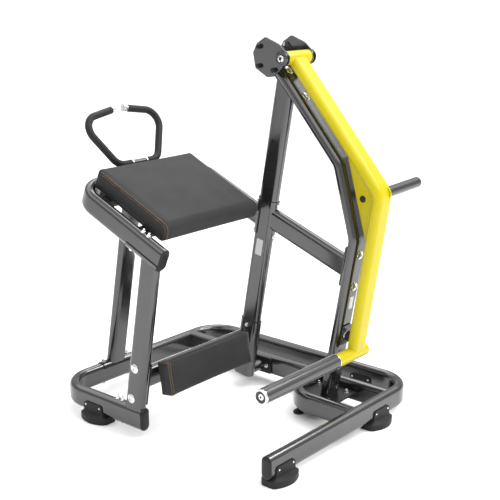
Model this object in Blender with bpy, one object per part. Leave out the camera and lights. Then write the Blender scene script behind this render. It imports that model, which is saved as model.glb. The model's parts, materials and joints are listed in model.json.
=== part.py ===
"""Glute kickback machine: a plate-loaded lever machine on a flat-oval tube frame.

Metres, +Z up. The user stands at +X, faces -X, lies over the chest pad and kicks the
roller of the yellow lever arm towards +X. The model is laid out from two frame lines:
x = 0 is the centreline of the left run, y = 0 that of the front-left run. At the end
everything is moved so that the origin lies under the middle of the machine.
"""
import bpy
import bmesh
from math import atan2, cos, sin, tan, sqrt, radians, pi
from mathutils import Vector, Matrix

X_AXIS = Vector((1, 0, 0))
Y_AXIS = Vector((0, 1, 0))
Z_AXIS = Vector((0, 0, 1))

# Fits between pieces
GAP = 0.0003

# Flat-oval tube of the frame and of the lever arm
TUBE_DEEP = 0.100
TUBE_WIDE = 0.050
TUBE_WALL = 0.003
TUBE_BEND = 0.145
ROUND_STEPS = 6
BEND_STEPS = 5

# Base
FOOT_HEIGHT = 0.035
BASE_X = 1.230
BASE_Y = 1.052
LEFT_RUN_END = 0.547
BACK_SPLICE_X = 0.480
INNER_RAIL_Y = 0.861
LOOP_FRONT_Y = 0.599
LOOP_LEFT_X = 0.850
BASE_PLATE_Z = 0.092
BASE_PLATE_THICK = 0.008
BASE_PLATE_BACK = 0.880
BASE_PLATE_FRONT = 1.080
CAP_DOME = 0.010
CAP_ROUND = 0.016
CAP_PLUG = 0.022

# Feet
FOOT_FLAP = 0.006
FOOT_FLAP_TOP = 0.085
FOOT_TOP_LENGTH = 0.112
FOOT_LENGTH = 0.165
FOOT_SPREAD = 0.030
FOOT_BLOCK_HIGH = 0.018
FOOT_EDGE = 0.004
FLAP_CORNER = 0.012
LEFT_FEET_X = 0.244
FRONT_FOOT_Y = 0.085
RIGHT_FOOT_Y = 0.767
BACK_RIGHT_FOOT_X = 0.968
LEVELLER_RADIUS = 0.026
LEVELLER_DISC = 0.010
LEVELLER_BOSS = 0.013
LEVELLER_BOSS_TOP = 0.017
LEVELLER_STEM = 0.008
LEVELLER_EDGE = 0.002

# Posts
POST_LEAN = radians(10)
POST_FOOT_X = 0.472
CENTRE_Y = 0.730
USER_Y = 0.330
SADDLE_THICK = 0.005
FOOT_SADDLE_X = (0.360, LEFT_RUN_END)
BACK_SADDLE_LENGTH = 0.180
FLANGE_THICK = 0.008

# Bent post and lever arm, in the plane y = CENTRE_Y
UPPER_SLOPE = radians(49)
PIVOT_X = 0.7826
PIVOT_Z = 1.594
POST_ARM_SPACING = 0.0885
BENT_POST_MID = (1.040, 1.163)
BENT_POST_KNEE = (1.129, 0.843)
LEVER_BEND = 0.085

# Pad rail
RAIL_TILT = radians(23)
RAIL_ANCHOR = (0.500, 0.902)
RAIL_FRONT_X = 0.684
RAIL_BACK_X = 0.178
RAIL_BEND = 0.110
RAIL_SADDLE_LENGTH = 0.175
RAIL_SADDLE_Z = 0.869
TOP_SADDLE_X = (0.505, RAIL_FRONT_X)

# Brace between the central post and the bent post
BRACE_SLOPE = radians(20)
BRACE_ANCHOR = (0.674, 0.858)
BRACE_SADDLE_LENGTH = 0.185
BRACE_SADDLE_Z = 0.8595
BRACE_FLANGE_Z = 0.714
BRACE_FLANGE_WIDE = 0.070

# Shin crossbar, socket and flange of the central post
FLANGE_LENGTH = 0.178
FLANGE_WIDE = 0.070
CROSSBAR_Z = 0.262
CROSSBAR_FLANGE_Z = 0.248
CROSSBAR_FLANGE_LENGTH = 0.204
CROSSBAR_FLANGE_WIDE = 0.080
CROSSBAR_FLANGE_THICK = 0.006
SOCKET_WALL = 0.005
SOCKET_LOW_Z = 0.066
SOCKET_TOP_Z = 0.352
SOCKET_LIP = 0.006
LINK_Z = 0.085
LINK_X = 0.487
LINK_FLANGE_LENGTH = 0.170
LINK_FLANGE_HIGH = 0.080

# Pivot head
PIVOT_TUBE_RADIUS = 0.030
PIVOT_TUBE_WALL = 0.006
PIVOT_TUBE_LENGTH = 0.162
PIVOT_CAP_RADIUS = 0.033
PIVOT_CAP_THICK = 0.009
PIVOT_CAP_EDGE = 0.001
SHAFT_RADIUS = 0.0125
SHAFT_HEAD_RADIUS = 0.0145
SHAFT_HEAD_THICK = 0.006
BEARING_LENGTH = 0.018
BEARING_LIP = 0.003
HEAD_PLATE_THICK = 0.008
HEAD_TUBE_RADIUS = 0.025
HEAD_TUBE_ALONG = 0.092
HEAD_TUBE_WALL = 0.004
PLATE_OFFSET = 0.0865
# Outline of a pivot plate about the pivot axis as (x, z), and the radius of each corner
PIVOT_PLATE = (
    (0.038, 0.012), (-0.020, 0.060), (-0.096, 0.088), (-0.140, 0.060), (-0.163, 0.020),
    (-0.149, -0.047), (-0.083, -0.083), (-0.050, -0.079), (0.014, -0.028),
)
PIVOT_PLATE_RADII = (0.030, 0.030, 0.016, 0.012, 0.012, 0.010, 0.014, 0.012, 0.034)
# Outline of a head plate beside the bent post as (along, up), and its corner radius
HEAD_PLATE = (
    (-0.114, -0.016), (-0.126, 0.020), (-0.122, 0.0415), (0.020, 0.0415), (0.019, -0.002),
    (0.003, -0.020), (-0.062, -0.045), (-0.084, -0.032),
)
HEAD_PLATE_RADIUS = 0.006

# Lever arm
ARM_FOOT_X = 1.134
ARM_FOOT_Z = 0.329
ARM_KNEE = (1.249, 1.058)
GUSSET_THICK = 0.008
GUSSET_UPPER = 0.216
GUSSET_LOWER = 0.219
GUSSET_REACH = 0.047
FOOT_TUBE_RADIUS = 0.030
FOOT_TUBE_WALL = 0.003
FOOT_TUBE_FAR_Y = 0.797
ROLLER_INNER_Y = 0.581
ROLLER_OUTER_Y = 0.075
ROLLER_RADIUS = 0.033
AXLE_RADIUS = 0.0165
ROLLER_RUNNING_GAP = 0.0006
RING_THICK = 0.004
ROLLER_CAP_RADIUS = 0.034
ROLLER_CAP_THICK = 0.010
ROLLER_CAP_EDGE = 0.002
RING_PROUD = 0.001
AXLE_SHOULDER = 0.012
PEG_RADIUS = 0.024
PEG_WALL = 0.004
PEG_LENGTH = 0.262
PEG_NOSE = 0.010
PEG_TILT = radians(2)

# Stop that the arm rests on
STOP_Z = 0.405
STOP_RADIUS = 0.024
STOP_EDGE = 0.002
STOP_SEAT = 0.006
STOP_PLATE_WIDE = 0.060
STOP_PLATE_HIGH = 0.095

# Chest pad
PAD_TILT = radians(24)
PAD_CENTRE = (0.450, 1.007)
PAD_LENGTH = 0.464
PAD_WIDE = 0.564
PAD_THICK = 0.088
PAD_NOSE = 0.040
PAD_EDGE = 0.010
PAD_CORNER = 0.024
PAD_CROWN = 0.006
PAD_DRAW = 0.004
PAD_CUTS = 9
BOARD_THICK = 0.015
BOARD_MARGIN = 0.030
MEMBER_WIDE = 0.050
MEMBER_THICK = 0.030
MEMBER_WALL = 0.003
BACK_MEMBER_INSET = 0.101
FRONT_MEMBER_INSET = 0.121

# Shin pad
SHIN_CENTRE = (0.6186, 0.2738)
SHIN_TILT = radians(10)
SHIN_HIGH = 0.145
SHIN_THICK = 0.070
SHIN_LENGTH = 0.520
SHIN_BRACKET_WIDE = 0.260
SHIN_BRACKET_HIGH = 0.060
SHIN_BRACKET_WALL = 0.005
SHIN_PAD_Y = 0.320

# Handles
HANDLE_LEAN = radians(28)
HANDLE_FOOT = (0.2066, 1.1266)
HANDLE_TUBE_RADIUS = 0.014
HANDLE_TUBE_WALL = 0.002
HANDLE_BEND = 0.065
GRIP_RADIUS = 0.0165
GRIP_START = 0.045
GRIP_SHORT = 0.0006
HANDLE_CAP_RADIUS = 0.0185
HANDLE_CAP_THICK = 0.018
HANDLE_CAP_EDGE = 0.003
HANDLE_PLUG = 0.015
# Corners of one handle: distance from the middle, height up the lean
HANDLE_CORNERS = ((0.1197, 0.0), (0.2445, 0.223), (0.0445, 0.257))
MOUNT_WIDE = 0.060
MOUNT_THICK = 0.012


def clear_scene():
    """Start from nothing."""
    for item in list(bpy.data.objects):
        bpy.data.objects.remove(item)


def finish(name, colour, roughness, metallic):
    """A plain material with the colour of one of the machine's finishes."""
    material = bpy.data.materials.new(name)
    material.use_nodes = True
    shader = material.node_tree.nodes["Principled BSDF"]
    shader.inputs["Base Color"].default_value = (*colour, 1)
    shader.inputs["Roughness"].default_value = roughness
    shader.inputs["Metallic"].default_value = metallic
    material.diffuse_color = (*colour, 1)
    return material


def pivot_empty(name, place, parent=None):
    """An empty on a joint's axis, which the moving pieces hang from."""
    empty = bpy.data.objects.new(name, None)
    bpy.context.scene.collection.objects.link(empty)
    empty.location = place
    if parent:
        empty.parent = parent
        empty.matrix_parent_inverse = Matrix.Translation(-Vector(PLACES[parent.name]))
    PLACES[name] = tuple(place)
    return empty


PLACES = {}


def piece(name, bm, material, parent):
    """Turn a bmesh, drawn in machine coordinates, into a named object."""
    bmesh.ops.recalc_face_normals(bm, faces=bm.faces)
    mesh = bpy.data.meshes.new(name)
    bm.to_mesh(mesh)
    bm.free()
    mesh.shade_smooth()
    mesh.set_sharp_from_angle(angle=radians(32))
    mesh.materials.append(material)
    item = bpy.data.objects.new(name, mesh)
    bpy.context.scene.collection.objects.link(item)
    item.parent = parent
    item.matrix_parent_inverse = Matrix.Translation(-Vector(PLACES[parent.name]))
    return item


def helper(name, bm, parent):
    """A shape that only cuts or completes another one."""
    item = piece(name, bm, HELPER, parent)
    item.hide_render = True
    item.display_type = "WIRE"
    return item


def combine(target, operation, *shapes):
    """Boolean the shapes with the target, one modifier each."""
    for shape in shapes:
        modifier = target.modifiers.new(shape.name, "BOOLEAN")
        modifier.operation = operation
        modifier.object = shape


def flat_oval(deep, wide):
    """Outline of a flat-oval section as (deep, wide) pairs."""
    radius = wide / 2
    reach = deep / 2 - radius
    outline = []
    for side in (1, -1):
        for step in range(ROUND_STEPS + 1):
            angle = pi * step / ROUND_STEPS - pi / 2
            outline.append((side * (reach + radius * cos(angle)), side * radius * sin(angle)))
    return outline


def circle(radius, steps=16):
    """Outline of a round section."""
    return [(radius * cos(2 * pi * step / steps), radius * sin(2 * pi * step / steps))
            for step in range(steps)]


def rounded(corners, radii, steps=4):
    """Outline through the corners, each replaced by an arc of its radius."""
    outline = []
    count = len(corners)
    for index, corner in enumerate(corners):
        here = Vector(corner)
        to_last = (Vector(corners[index - 1]) - here).normalized()
        to_next = (Vector(corners[(index + 1) % count]) - here).normalized()
        half = to_last.angle(to_next) / 2
        radius = radii[index]
        centre = here + (to_last + to_next).normalized() * (radius / sin(half))
        start = here + to_last * (radius / tan(half)) - centre
        end = here + to_next * (radius / tan(half)) - centre
        turn = start.angle_signed(end)
        for step in range(steps + 1):
            arm = start.copy()
            arm.rotate(Matrix.Rotation(-turn * step / steps, 2))
            outline.append(tuple(centre + arm))
    return outline


def region(faces):
    """The faces with their edges, so that an extrusion leaves no face behind inside."""
    return faces + list({edge for face in faces for edge in face.edges})


def section(bm, centre, heading, long_axis, outer, inner):
    """Draw the section's face, a ring where it has an inner outline."""
    across = long_axis.cross(heading)
    rims = []
    for outline in (outer, inner):
        if outline is None:
            continue
        verts = [bm.verts.new(centre + long_axis * deep + across * wide) for deep, wide in outline]
        if inner is None:
            return [bm.faces.new(verts)]
        rims += [bm.edges.new((verts[index - 1], verts[index])) for index in range(len(verts))]
    return bmesh.ops.bridge_loops(bm, edges=rims)["faces"]


def extruded(bm, faces, offset):
    """Extrude the faces and return those at the new end."""
    made = bmesh.ops.extrude_face_region(bm, geom=region(faces))["geom"]
    verts = [item for item in made if isinstance(item, bmesh.types.BMVert)]
    bmesh.ops.translate(bm, verts=verts, vec=offset)
    return [item for item in made if isinstance(item, bmesh.types.BMFace)]


def loft(rings):
    """Solid through rings of points, each with as many points as the first."""
    bm = bmesh.new()
    faces = [bm.faces.new([bm.verts.new(point) for point in rings[0]])]
    for ring in rings[1:]:
        faces = extruded(bm, faces, Vector((0, 0, 0)))
        for vert, point in zip(faces[0].verts, ring):
            vert.co = point
    return bm


def lathe(origin, axis, profile, steps=16):
    """Turned solid through rings at (radius, height) along the axis."""
    axis = Vector(axis).normalized()
    side = axis.orthogonal().normalized()
    across = axis.cross(side)
    rings = []
    for radius, height in profile:
        place = Vector(origin) + axis * height
        rings.append([place + side * u + across * v for u, v in circle(radius, steps)])
    return loft(rings)


def swept(corners, long_axis, outer, inner=None, bend=0):
    """Carry a section along straight runs, with an arc at each corner between them."""
    bm = bmesh.new()
    corners = [Vector(corner) for corner in corners]
    heading = (corners[1] - corners[0]).normalized()
    faces = section(bm, corners[0], heading, long_axis, outer, inner)
    here = corners[0]
    for before, corner, after in zip(corners, corners[1:], corners[2:]):
        run_in = (corner - before).normalized()
        run_out = (after - corner).normalized()
        turn = run_in.angle(run_out)
        setback = bend * tan(turn / 2)
        bend_start = corner - run_in * setback
        axis = run_in.cross(run_out).normalized()
        centre = bend_start + axis.cross(run_in) * bend
        faces = extruded(bm, faces, bend_start - here)
        arc = bmesh.ops.spin(bm, geom=region(faces), cent=centre, axis=axis, angle=turn,
                             steps=max(2, round(BEND_STEPS * turn / (pi / 2))))
        faces = [item for item in arc["geom_last"] if isinstance(item, bmesh.types.BMFace)]
        here = corner + run_out * setback
    extruded(bm, faces, corners[-1] - here)
    return bm


def oval_tube(corners, long_axis, bend=0):
    """Flat-oval frame tube, open at both ends."""
    inner = flat_oval(TUBE_DEEP - 2 * TUBE_WALL, TUBE_WIDE - 2 * TUBE_WALL)
    return swept(corners, long_axis, flat_oval(TUBE_DEEP, TUBE_WIDE), inner, bend)


def oval_solid(corners, long_axis, grow, bend=0):
    """Solid of the tube's outer shape, grown all round, to cut its neighbours with."""
    outer = flat_oval(TUBE_DEEP + 2 * grow, TUBE_WIDE + 2 * grow)
    return swept(corners, long_axis, outer, None, bend)


def rod(start, end, radius, bore=None, steps=16):
    """Round bar, or a round tube where it has a bore."""
    start = Vector(start)
    heading = (Vector(end) - start).normalized()
    inner = circle(bore, steps) if bore else None
    return swept((start, end), heading.orthogonal().normalized(), circle(radius, steps), inner)


def prism(outline, origin, u_axis, v_axis, offset):
    """Extrude a closed outline, drawn on the axes u and v about the origin."""
    bm = bmesh.new()
    verts = [bm.verts.new(Vector(origin) + u_axis * u + v_axis * v) for u, v in outline]
    extruded(bm, [bm.faces.new(verts)], offset)
    return bm


def block(size, centre, turn=0):
    """Box, turned about Y so that its +X end goes down."""
    bm = bmesh.new()
    place = Matrix.Translation(centre) @ Matrix.Rotation(turn, 4, "Y") @ Matrix.Diagonal((*size, 1))
    bmesh.ops.create_cube(bm, size=1, matrix=place)
    return bm


def half_space(point, normal, reach=0.4):
    """Large box that fills the side of a plane that its normal points to."""
    normal = Vector(normal).normalized()
    turn = Z_AXIS.rotation_difference(normal).to_matrix().to_4x4()
    bm = bmesh.new()
    centre = Vector(point) + normal * (reach / 2)
    place = Matrix.Translation(centre) @ turn @ Matrix.Diagonal((reach, reach, reach, 1))
    bmesh.ops.create_cube(bm, size=1, matrix=place)
    return bm


def saddle(start, end, towards):
    """Curved plate that lies on the round edge of a tube, from start to end along it."""
    start = Vector(start)
    heading = (Vector(end) - start).normalized()
    side = Vector(towards).normalized()
    across = heading.cross(side)
    low = HALF_WIDE + GAP
    high = low + SADDLE_THICK
    outline = []
    steps = list(range(ROUND_STEPS + 1))
    for radius, order in ((low, steps), (high, steps[::-1])):
        for step in order:
            angle = pi * step / ROUND_STEPS - pi / 2
            outline.append((radius * cos(angle), radius * sin(angle)))
    return prism(outline, start, side, across, Vector(end) - start)


def post_point(z, foot_x=POST_FOOT_X, y=CENTRE_Y, along=0):
    """Point on a leaning post's centreline, moved along the post's own cross direction."""
    point = Vector((foot_x + z * tan(POST_LEAN), y, z))
    return point + Vector((cos(POST_LEAN), 0, -sin(POST_LEAN))) * along


def rail_point(x, y=0, up=0):
    """Point on the pad rail's middle plane, moved up square to it."""
    z = RAIL_ANCHOR[1] - (x - RAIL_ANCHOR[0]) * tan(RAIL_TILT)
    return Vector((x, y, z)) + RAIL_UP * up


def on_post_top(along, up=0):
    """Point on the bent post's upper run, along it from beside the pivot, and above it."""
    beside = Vector((PIVOT_X, CENTRE_Y, PIVOT_Z)) - UPPER_UP * POST_ARM_SPACING
    return beside + UPPER_DOWN * along + UPPER_UP * up


def lower_post(z, along=0):
    """Point on the bent post's lower run, moved square to it."""
    x = BENT_POST_KNEE[0] + (z - BENT_POST_KNEE[1]) * tan(POST_LEAN)
    return Vector((x, CENTRE_Y, z)) + POST_ACROSS * along


def rail_crossing():
    """Height at which a leaning post's centreline meets the middle plane of the pad rail."""
    over_foot = RAIL_ANCHOR[1] + (RAIL_ANCHOR[0] - POST_FOOT_X) * tan(RAIL_TILT)
    return over_foot / (1 + tan(POST_LEAN) * tan(RAIL_TILT))


def bent_post_crossing():
    """Height at which the central post's centreline meets that of the bent post."""
    beside = on_post_top(0)
    drop = beside.x - POST_FOOT_X - beside.z * tan(POST_LEAN)
    return beside.z + drop / (tan(POST_LEAN) + 1 / tan(UPPER_SLOPE))


POST_UP = Vector((sin(POST_LEAN), 0, cos(POST_LEAN)))
POST_ACROSS = Vector((cos(POST_LEAN), 0, -sin(POST_LEAN)))
RAIL_UP = Vector((sin(RAIL_TILT), 0, cos(RAIL_TILT)))
RAIL_ALONG = Vector((cos(RAIL_TILT), 0, -sin(RAIL_TILT)))
UPPER_UP = Vector((sin(UPPER_SLOPE), 0, cos(UPPER_SLOPE)))
UPPER_DOWN = Vector((cos(UPPER_SLOPE), 0, -sin(UPPER_SLOPE)))
BASE_Z = FOOT_HEIGHT + TUBE_DEEP / 2
HALF_WIDE = TUBE_WIDE / 2
HALF_DEEP = TUBE_DEEP / 2
END_CIRCLE = HALF_DEEP - HALF_WIDE
PIVOT = Vector((PIVOT_X, CENTRE_Y, PIVOT_Z))

clear_scene()
FRAME_GREY = finish("frame grey paint", (0.16, 0.16, 0.165), 0.32, 0.75)
DARK_STEEL = finish("dark plate paint", (0.07, 0.07, 0.075), 0.45, 0.5)
LEVER_YELLOW = finish("lever yellow paint", (0.95, 0.84, 0.05), 0.3, 0.0)
BLACK_PLASTIC = finish("black plastic", (0.025, 0.025, 0.027), 0.5, 0.0)
BLACK_RUBBER = finish("black rubber", (0.03, 0.03, 0.03), 0.75, 0.0)
ROLLER_GREY = finish("roller grey rubber", (0.14, 0.14, 0.145), 0.35, 0.2)
VINYL = finish("charcoal vinyl", (0.07, 0.07, 0.072), 0.55, 0.0)
PLYWOOD = finish("plywood", (0.42, 0.29, 0.16), 0.8, 0.0)
CHROME = finish("chrome", (0.8, 0.8, 0.82), 0.12, 1.0)
STEEL = finish("bright steel", (0.6, 0.6, 0.6), 0.3, 1.0)
HELPER = finish("helper", (1, 0.2, 0.2), 1.0, 0.0)

frame = pivot_empty("machine", (0, 0, 0))
arm = pivot_empty("arm_axis", PIVOT, frame)
roller = pivot_empty("roller_axis", (ARM_FOOT_X, USER_Y, ARM_FOOT_Z), arm)


def base_frame():
    """Outer loop in two bent tubes, inner rail, inner loop and the plate between them."""
    left_path = ((LEFT_RUN_END, 0, BASE_Z), (0, 0, BASE_Z), (0, BASE_Y, BASE_Z),
                 (BACK_SPLICE_X - GAP / 2, BASE_Y, BASE_Z))
    right_path = ((BACK_SPLICE_X + GAP / 2, BASE_Y, BASE_Z), (BASE_X, BASE_Y, BASE_Z),
                  (BASE_X, 0, BASE_Z))
    piece("base_tube_left", oval_tube(left_path, Z_AXIS, TUBE_BEND), FRAME_GREY, frame)
    piece("base_tube_right", oval_tube(right_path, Z_AXIS, TUBE_BEND), FRAME_GREY, frame)
    left_edge = helper("left_run_edge", oval_solid(
        ((0, 0, BASE_Z), (0, BASE_Y, BASE_Z)), Z_AXIS, GAP), frame)
    front_edge = helper("front_bar_edge", oval_solid(
        ((BASE_X, 0, BASE_Z), (BASE_X, BASE_Y, BASE_Z)), Z_AXIS, GAP), frame)
    rail_path = ((0, INNER_RAIL_Y, BASE_Z), (BASE_X, INNER_RAIL_Y, BASE_Z))
    rail = piece("base_inner_rail", oval_tube(rail_path, Z_AXIS), FRAME_GREY, frame)
    combine(rail, "DIFFERENCE", left_edge, front_edge)
    rail_edge = helper("inner_rail_edge", oval_solid(rail_path, Z_AXIS, GAP), frame)
    loop_path = ((BASE_X, LOOP_FRONT_Y, BASE_Z), (LOOP_LEFT_X, LOOP_FRONT_Y, BASE_Z),
                 (LOOP_LEFT_X, INNER_RAIL_Y, BASE_Z))
    loop = piece("base_inner_loop", oval_tube(loop_path, Z_AXIS, TUBE_BEND), FRAME_GREY, frame)
    combine(loop, "DIFFERENCE", front_edge, rail_edge)
    front = LOOP_FRONT_Y + HALF_WIDE + GAP
    back = INNER_RAIL_Y - HALF_WIDE - GAP
    size = (BASE_PLATE_FRONT - BASE_PLATE_BACK, back - front, BASE_PLATE_THICK)
    centre = ((BASE_PLATE_FRONT + BASE_PLATE_BACK) / 2, (front + back) / 2,
              BASE_PLATE_Z - BASE_PLATE_THICK / 2)
    plate = piece("base_plate", block(size, centre), BLACK_PLASTIC, frame)
    loop_edge = helper("inner_loop_edge", oval_solid(loop_path, Z_AXIS, GAP, TUBE_BEND), frame)
    combine(plate, "DIFFERENCE", loop_edge)


def end_cap(name, centre, outward, long_axis):
    """Domed plastic cap with a plug that fits in the tube's bore."""
    outward = Vector(outward)
    across = long_axis.cross(outward)
    fit = TUBE_WALL + GAP
    rings = []
    dome = [(CAP_ROUND * (1 - cos(turn)), CAP_DOME * (0.4 + 0.6 * sin(turn)))
            for turn in (0, radians(30), radians(60), radians(90))]
    for inset, height in ((fit, -CAP_PLUG), (fit, GAP), (0, GAP), *dome):
        outline = flat_oval(TUBE_DEEP - 2 * inset, TUBE_WIDE - 2 * inset)
        place = Vector(centre) + outward * height
        rings.append([place + long_axis * deep + across * wide for deep, wide in outline])
    piece(name, loft(rings), BLACK_PLASTIC, frame)


def end_caps():
    """Caps of the two open base ends and of the pad rail's near leg."""
    end_cap("cap_left_run", (LEFT_RUN_END, 0, BASE_Z), X_AXIS, Z_AXIS)
    end_cap("cap_front_bar", (BASE_X, 0, BASE_Z), -Y_AXIS, Z_AXIS)
    end_cap("cap_pad_rail", rail_point(RAIL_FRONT_X), RAIL_ALONG, RAIL_UP)


def bowed(length, wide, bow, steps=8):
    """Outline with straight ends and two long sides that bow outwards."""
    half = [(length * (step / steps - 0.5), wide + bow * (1 - (2 * step / steps - 1) ** 2))
            for step in range(steps + 1)]
    return [(-u, v) for u, v in half] + [(u, -v) for u, v in half]


def rubber_foot(name, centre, along):
    """Moulded foot that the tube sits in: bowed sides, and a flap up each side of the tube."""
    across = Z_AXIS.cross(along)
    flap = HALF_WIDE + GAP + FOOT_FLAP
    edge = 2 * FOOT_EDGE
    levels = (
        (0, FOOT_LENGTH - edge, flap - FOOT_EDGE, FOOT_SPREAD),
        (FOOT_EDGE, FOOT_LENGTH, flap, FOOT_SPREAD),
        (FOOT_BLOCK_HIGH, FOOT_LENGTH - edge, flap, FOOT_SPREAD - FOOT_EDGE),
        (FOOT_HEIGHT + FOOT_EDGE, FOOT_TOP_LENGTH, flap, 0),
        (FOOT_FLAP_TOP - FLAP_CORNER, FOOT_TOP_LENGTH, flap, 0),
        (FOOT_FLAP_TOP, FOOT_TOP_LENGTH - 2 * FLAP_CORNER, flap, 0),
    )
    rings = []
    for height, length, wide, bow in levels:
        rings.append([Vector(centre) + along * u + across * v + Z_AXIS * height
                      for u, v in bowed(length, wide, bow)])
    foot = piece(name, loft(rings), BLACK_RUBBER, frame)
    middle = Vector(centre) + Z_AXIS * BASE_Z
    run = (middle - along * FOOT_LENGTH, middle + along * FOOT_LENGTH)
    seat = helper(name + "_seat", oval_solid(run, Z_AXIS, GAP), frame)
    combine(foot, "DIFFERENCE", seat)


def feet():
    """Five moulded feet under the outer loop and one levelling foot under the inner loop."""
    rubber_foot("foot_left", (LEFT_FEET_X, 0, 0), X_AXIS)
    rubber_foot("foot_front", (BASE_X, FRONT_FOOT_Y, 0), Y_AXIS)
    rubber_foot("foot_right", (BASE_X, RIGHT_FOOT_Y, 0), Y_AXIS)
    rubber_foot("foot_back_right", (BACK_RIGHT_FOOT_X, BASE_Y, 0), X_AXIS)
    rubber_foot("foot_back_left", (LEFT_FEET_X, BASE_Y, 0), X_AXIS)
    corner = TUBE_BEND * (1 - cos(pi / 4))
    profile = ((LEVELLER_RADIUS - LEVELLER_EDGE, 0), (LEVELLER_RADIUS, LEVELLER_EDGE),
               (LEVELLER_RADIUS, LEVELLER_DISC), (LEVELLER_BOSS, LEVELLER_BOSS_TOP),
               (LEVELLER_STEM, LEVELLER_BOSS_TOP), (LEVELLER_STEM, FOOT_HEIGHT - GAP))
    place = (LOOP_LEFT_X + corner, LOOP_FRONT_Y + corner, 0)
    piece("levelling_foot", lathe(place, Z_AXIS, profile), BLACK_RUBBER, frame)


def rail_cutter(name):
    """Solid of the whole pad rail with its gap, to cope what meets it."""
    path = (rail_point(RAIL_FRONT_X, CENTRE_Y), rail_point(RAIL_BACK_X, CENTRE_Y),
            rail_point(RAIL_BACK_X), rail_point(RAIL_FRONT_X))
    return helper(name, oval_solid(path, RAIL_UP, GAP, RAIL_BEND), frame)


def left_posts():
    """The two left posts, coped on the base below and on the pad rail above."""
    rail_edge = rail_cutter("rail_edge")
    saddle_size = SADDLE_THICK + 2 * GAP
    foot_edge = helper("front_saddle_top", oval_solid(
        [(x, 0, BASE_Z) for x in FOOT_SADDLE_X], Z_AXIS, saddle_size), frame)
    top_edge = helper("front_saddle_base", oval_solid(
        [rail_point(x) for x in TOP_SADDLE_X], RAIL_UP, saddle_size), frame)
    path = (post_point(BASE_Z, y=0), post_point(rail_crossing(), y=0))
    post = piece("post_front_left", oval_tube(path, POST_ACROSS), FRAME_GREY, frame)
    combine(post, "DIFFERENCE", foot_edge, top_edge)
    start, end = ((x, 0, BASE_Z + END_CIRCLE) for x in FOOT_SADDLE_X)
    piece("saddle_front_foot", saddle(start, end, Z_AXIS), FRAME_GREY, frame)
    start, end = (rail_point(x, up=-END_CIRCLE) for x in TOP_SADDLE_X)
    piece("saddle_front_top", saddle(start, end, -RAIL_UP), FRAME_GREY, frame)

    half = BACK_SADDLE_LENGTH / 2
    start, end = ((0, y, BASE_Z + END_CIRCLE) for y in (USER_Y - half, USER_Y + half))
    piece("saddle_back_foot", saddle(start, end, Z_AXIS), FRAME_GREY, frame)
    saddle_edge = helper("back_saddle_top", oval_solid(
        ((0, USER_Y - half, BASE_Z), (0, USER_Y + half, BASE_Z)), Z_AXIS, saddle_size), frame)
    foot = Vector((0, USER_Y, BASE_Z + END_CIRCLE))
    top = rail_point(RAIL_BACK_X, USER_Y, -END_CIRCLE)
    post = piece("post_back_left", oval_tube((foot, top), Y_AXIS), FRAME_GREY, frame)
    combine(post, "DIFFERENCE", saddle_edge, rail_edge)


def central_post():
    """Central post in its socket, its link to the base and its flange on the bent post."""
    low = post_point(SOCKET_LOW_Z + SOCKET_LIP)
    high = post_point(bent_post_crossing() + TUBE_DEEP)
    post = piece("central_post", oval_tube((low, high), POST_ACROSS), FRAME_GREY, frame)
    edge = on_post_top(0, -HALF_WIDE - FLANGE_THICK - 2 * GAP)
    combine(post, "DIFFERENCE", helper("central_post_top", half_space(edge, UPPER_UP), frame))

    middle = post_point(bent_post_crossing())
    along = (middle - on_post_top(0)).dot(UPPER_DOWN)
    centre = on_post_top(along, -HALF_WIDE - GAP - FLANGE_THICK / 2)
    piece("central_post_flange", block((FLANGE_LENGTH, FLANGE_WIDE, FLANGE_THICK), centre,
                                       UPPER_SLOPE), DARK_STEEL, frame)

    fit = GAP
    path = (post_point(SOCKET_LOW_Z), post_point(SOCKET_TOP_Z))
    inner = flat_oval(TUBE_DEEP + 2 * fit, TUBE_WIDE + 2 * fit)
    size = fit + SOCKET_WALL
    outer = flat_oval(TUBE_DEEP + 2 * size, TUBE_WIDE + 2 * size)
    piece("post_socket", swept(path, POST_ACROSS, outer, inner), DARK_STEEL, frame)
    socket_edge = helper("socket_edge", oval_solid(path, POST_ACROSS, size + GAP), frame)

    rail_face = INNER_RAIL_Y - HALF_WIDE - GAP
    path = ((LINK_X, CENTRE_Y, LINK_Z), (LINK_X, rail_face - FLANGE_THICK - GAP, LINK_Z))
    link = piece("socket_link", oval_tube(path, X_AXIS), FRAME_GREY, frame)
    combine(link, "DIFFERENCE", socket_edge)
    size = (LINK_FLANGE_LENGTH, FLANGE_THICK, LINK_FLANGE_HIGH)
    centre = (LINK_X, rail_face - FLANGE_THICK / 2, LINK_Z)
    piece("socket_flange", block(size, centre), DARK_STEEL, frame)

    near = HALF_WIDE + GAP + CROSSBAR_FLANGE_THICK + GAP
    middle = post_point(CROSSBAR_Z)
    path = (Vector((middle.x, near, middle.z)), middle)
    bar = piece("shin_crossbar", oval_tube(path, POST_UP), FRAME_GREY, frame)
    combine(bar, "DIFFERENCE", socket_edge)
    size = (CROSSBAR_FLANGE_WIDE, CROSSBAR_FLANGE_THICK, CROSSBAR_FLANGE_LENGTH)
    centre = post_point(CROSSBAR_FLANGE_Z, y=HALF_WIDE + GAP + CROSSBAR_FLANGE_THICK / 2)
    piece("crossbar_flange", block(size, centre, POST_LEAN), DARK_STEEL, frame)


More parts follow.
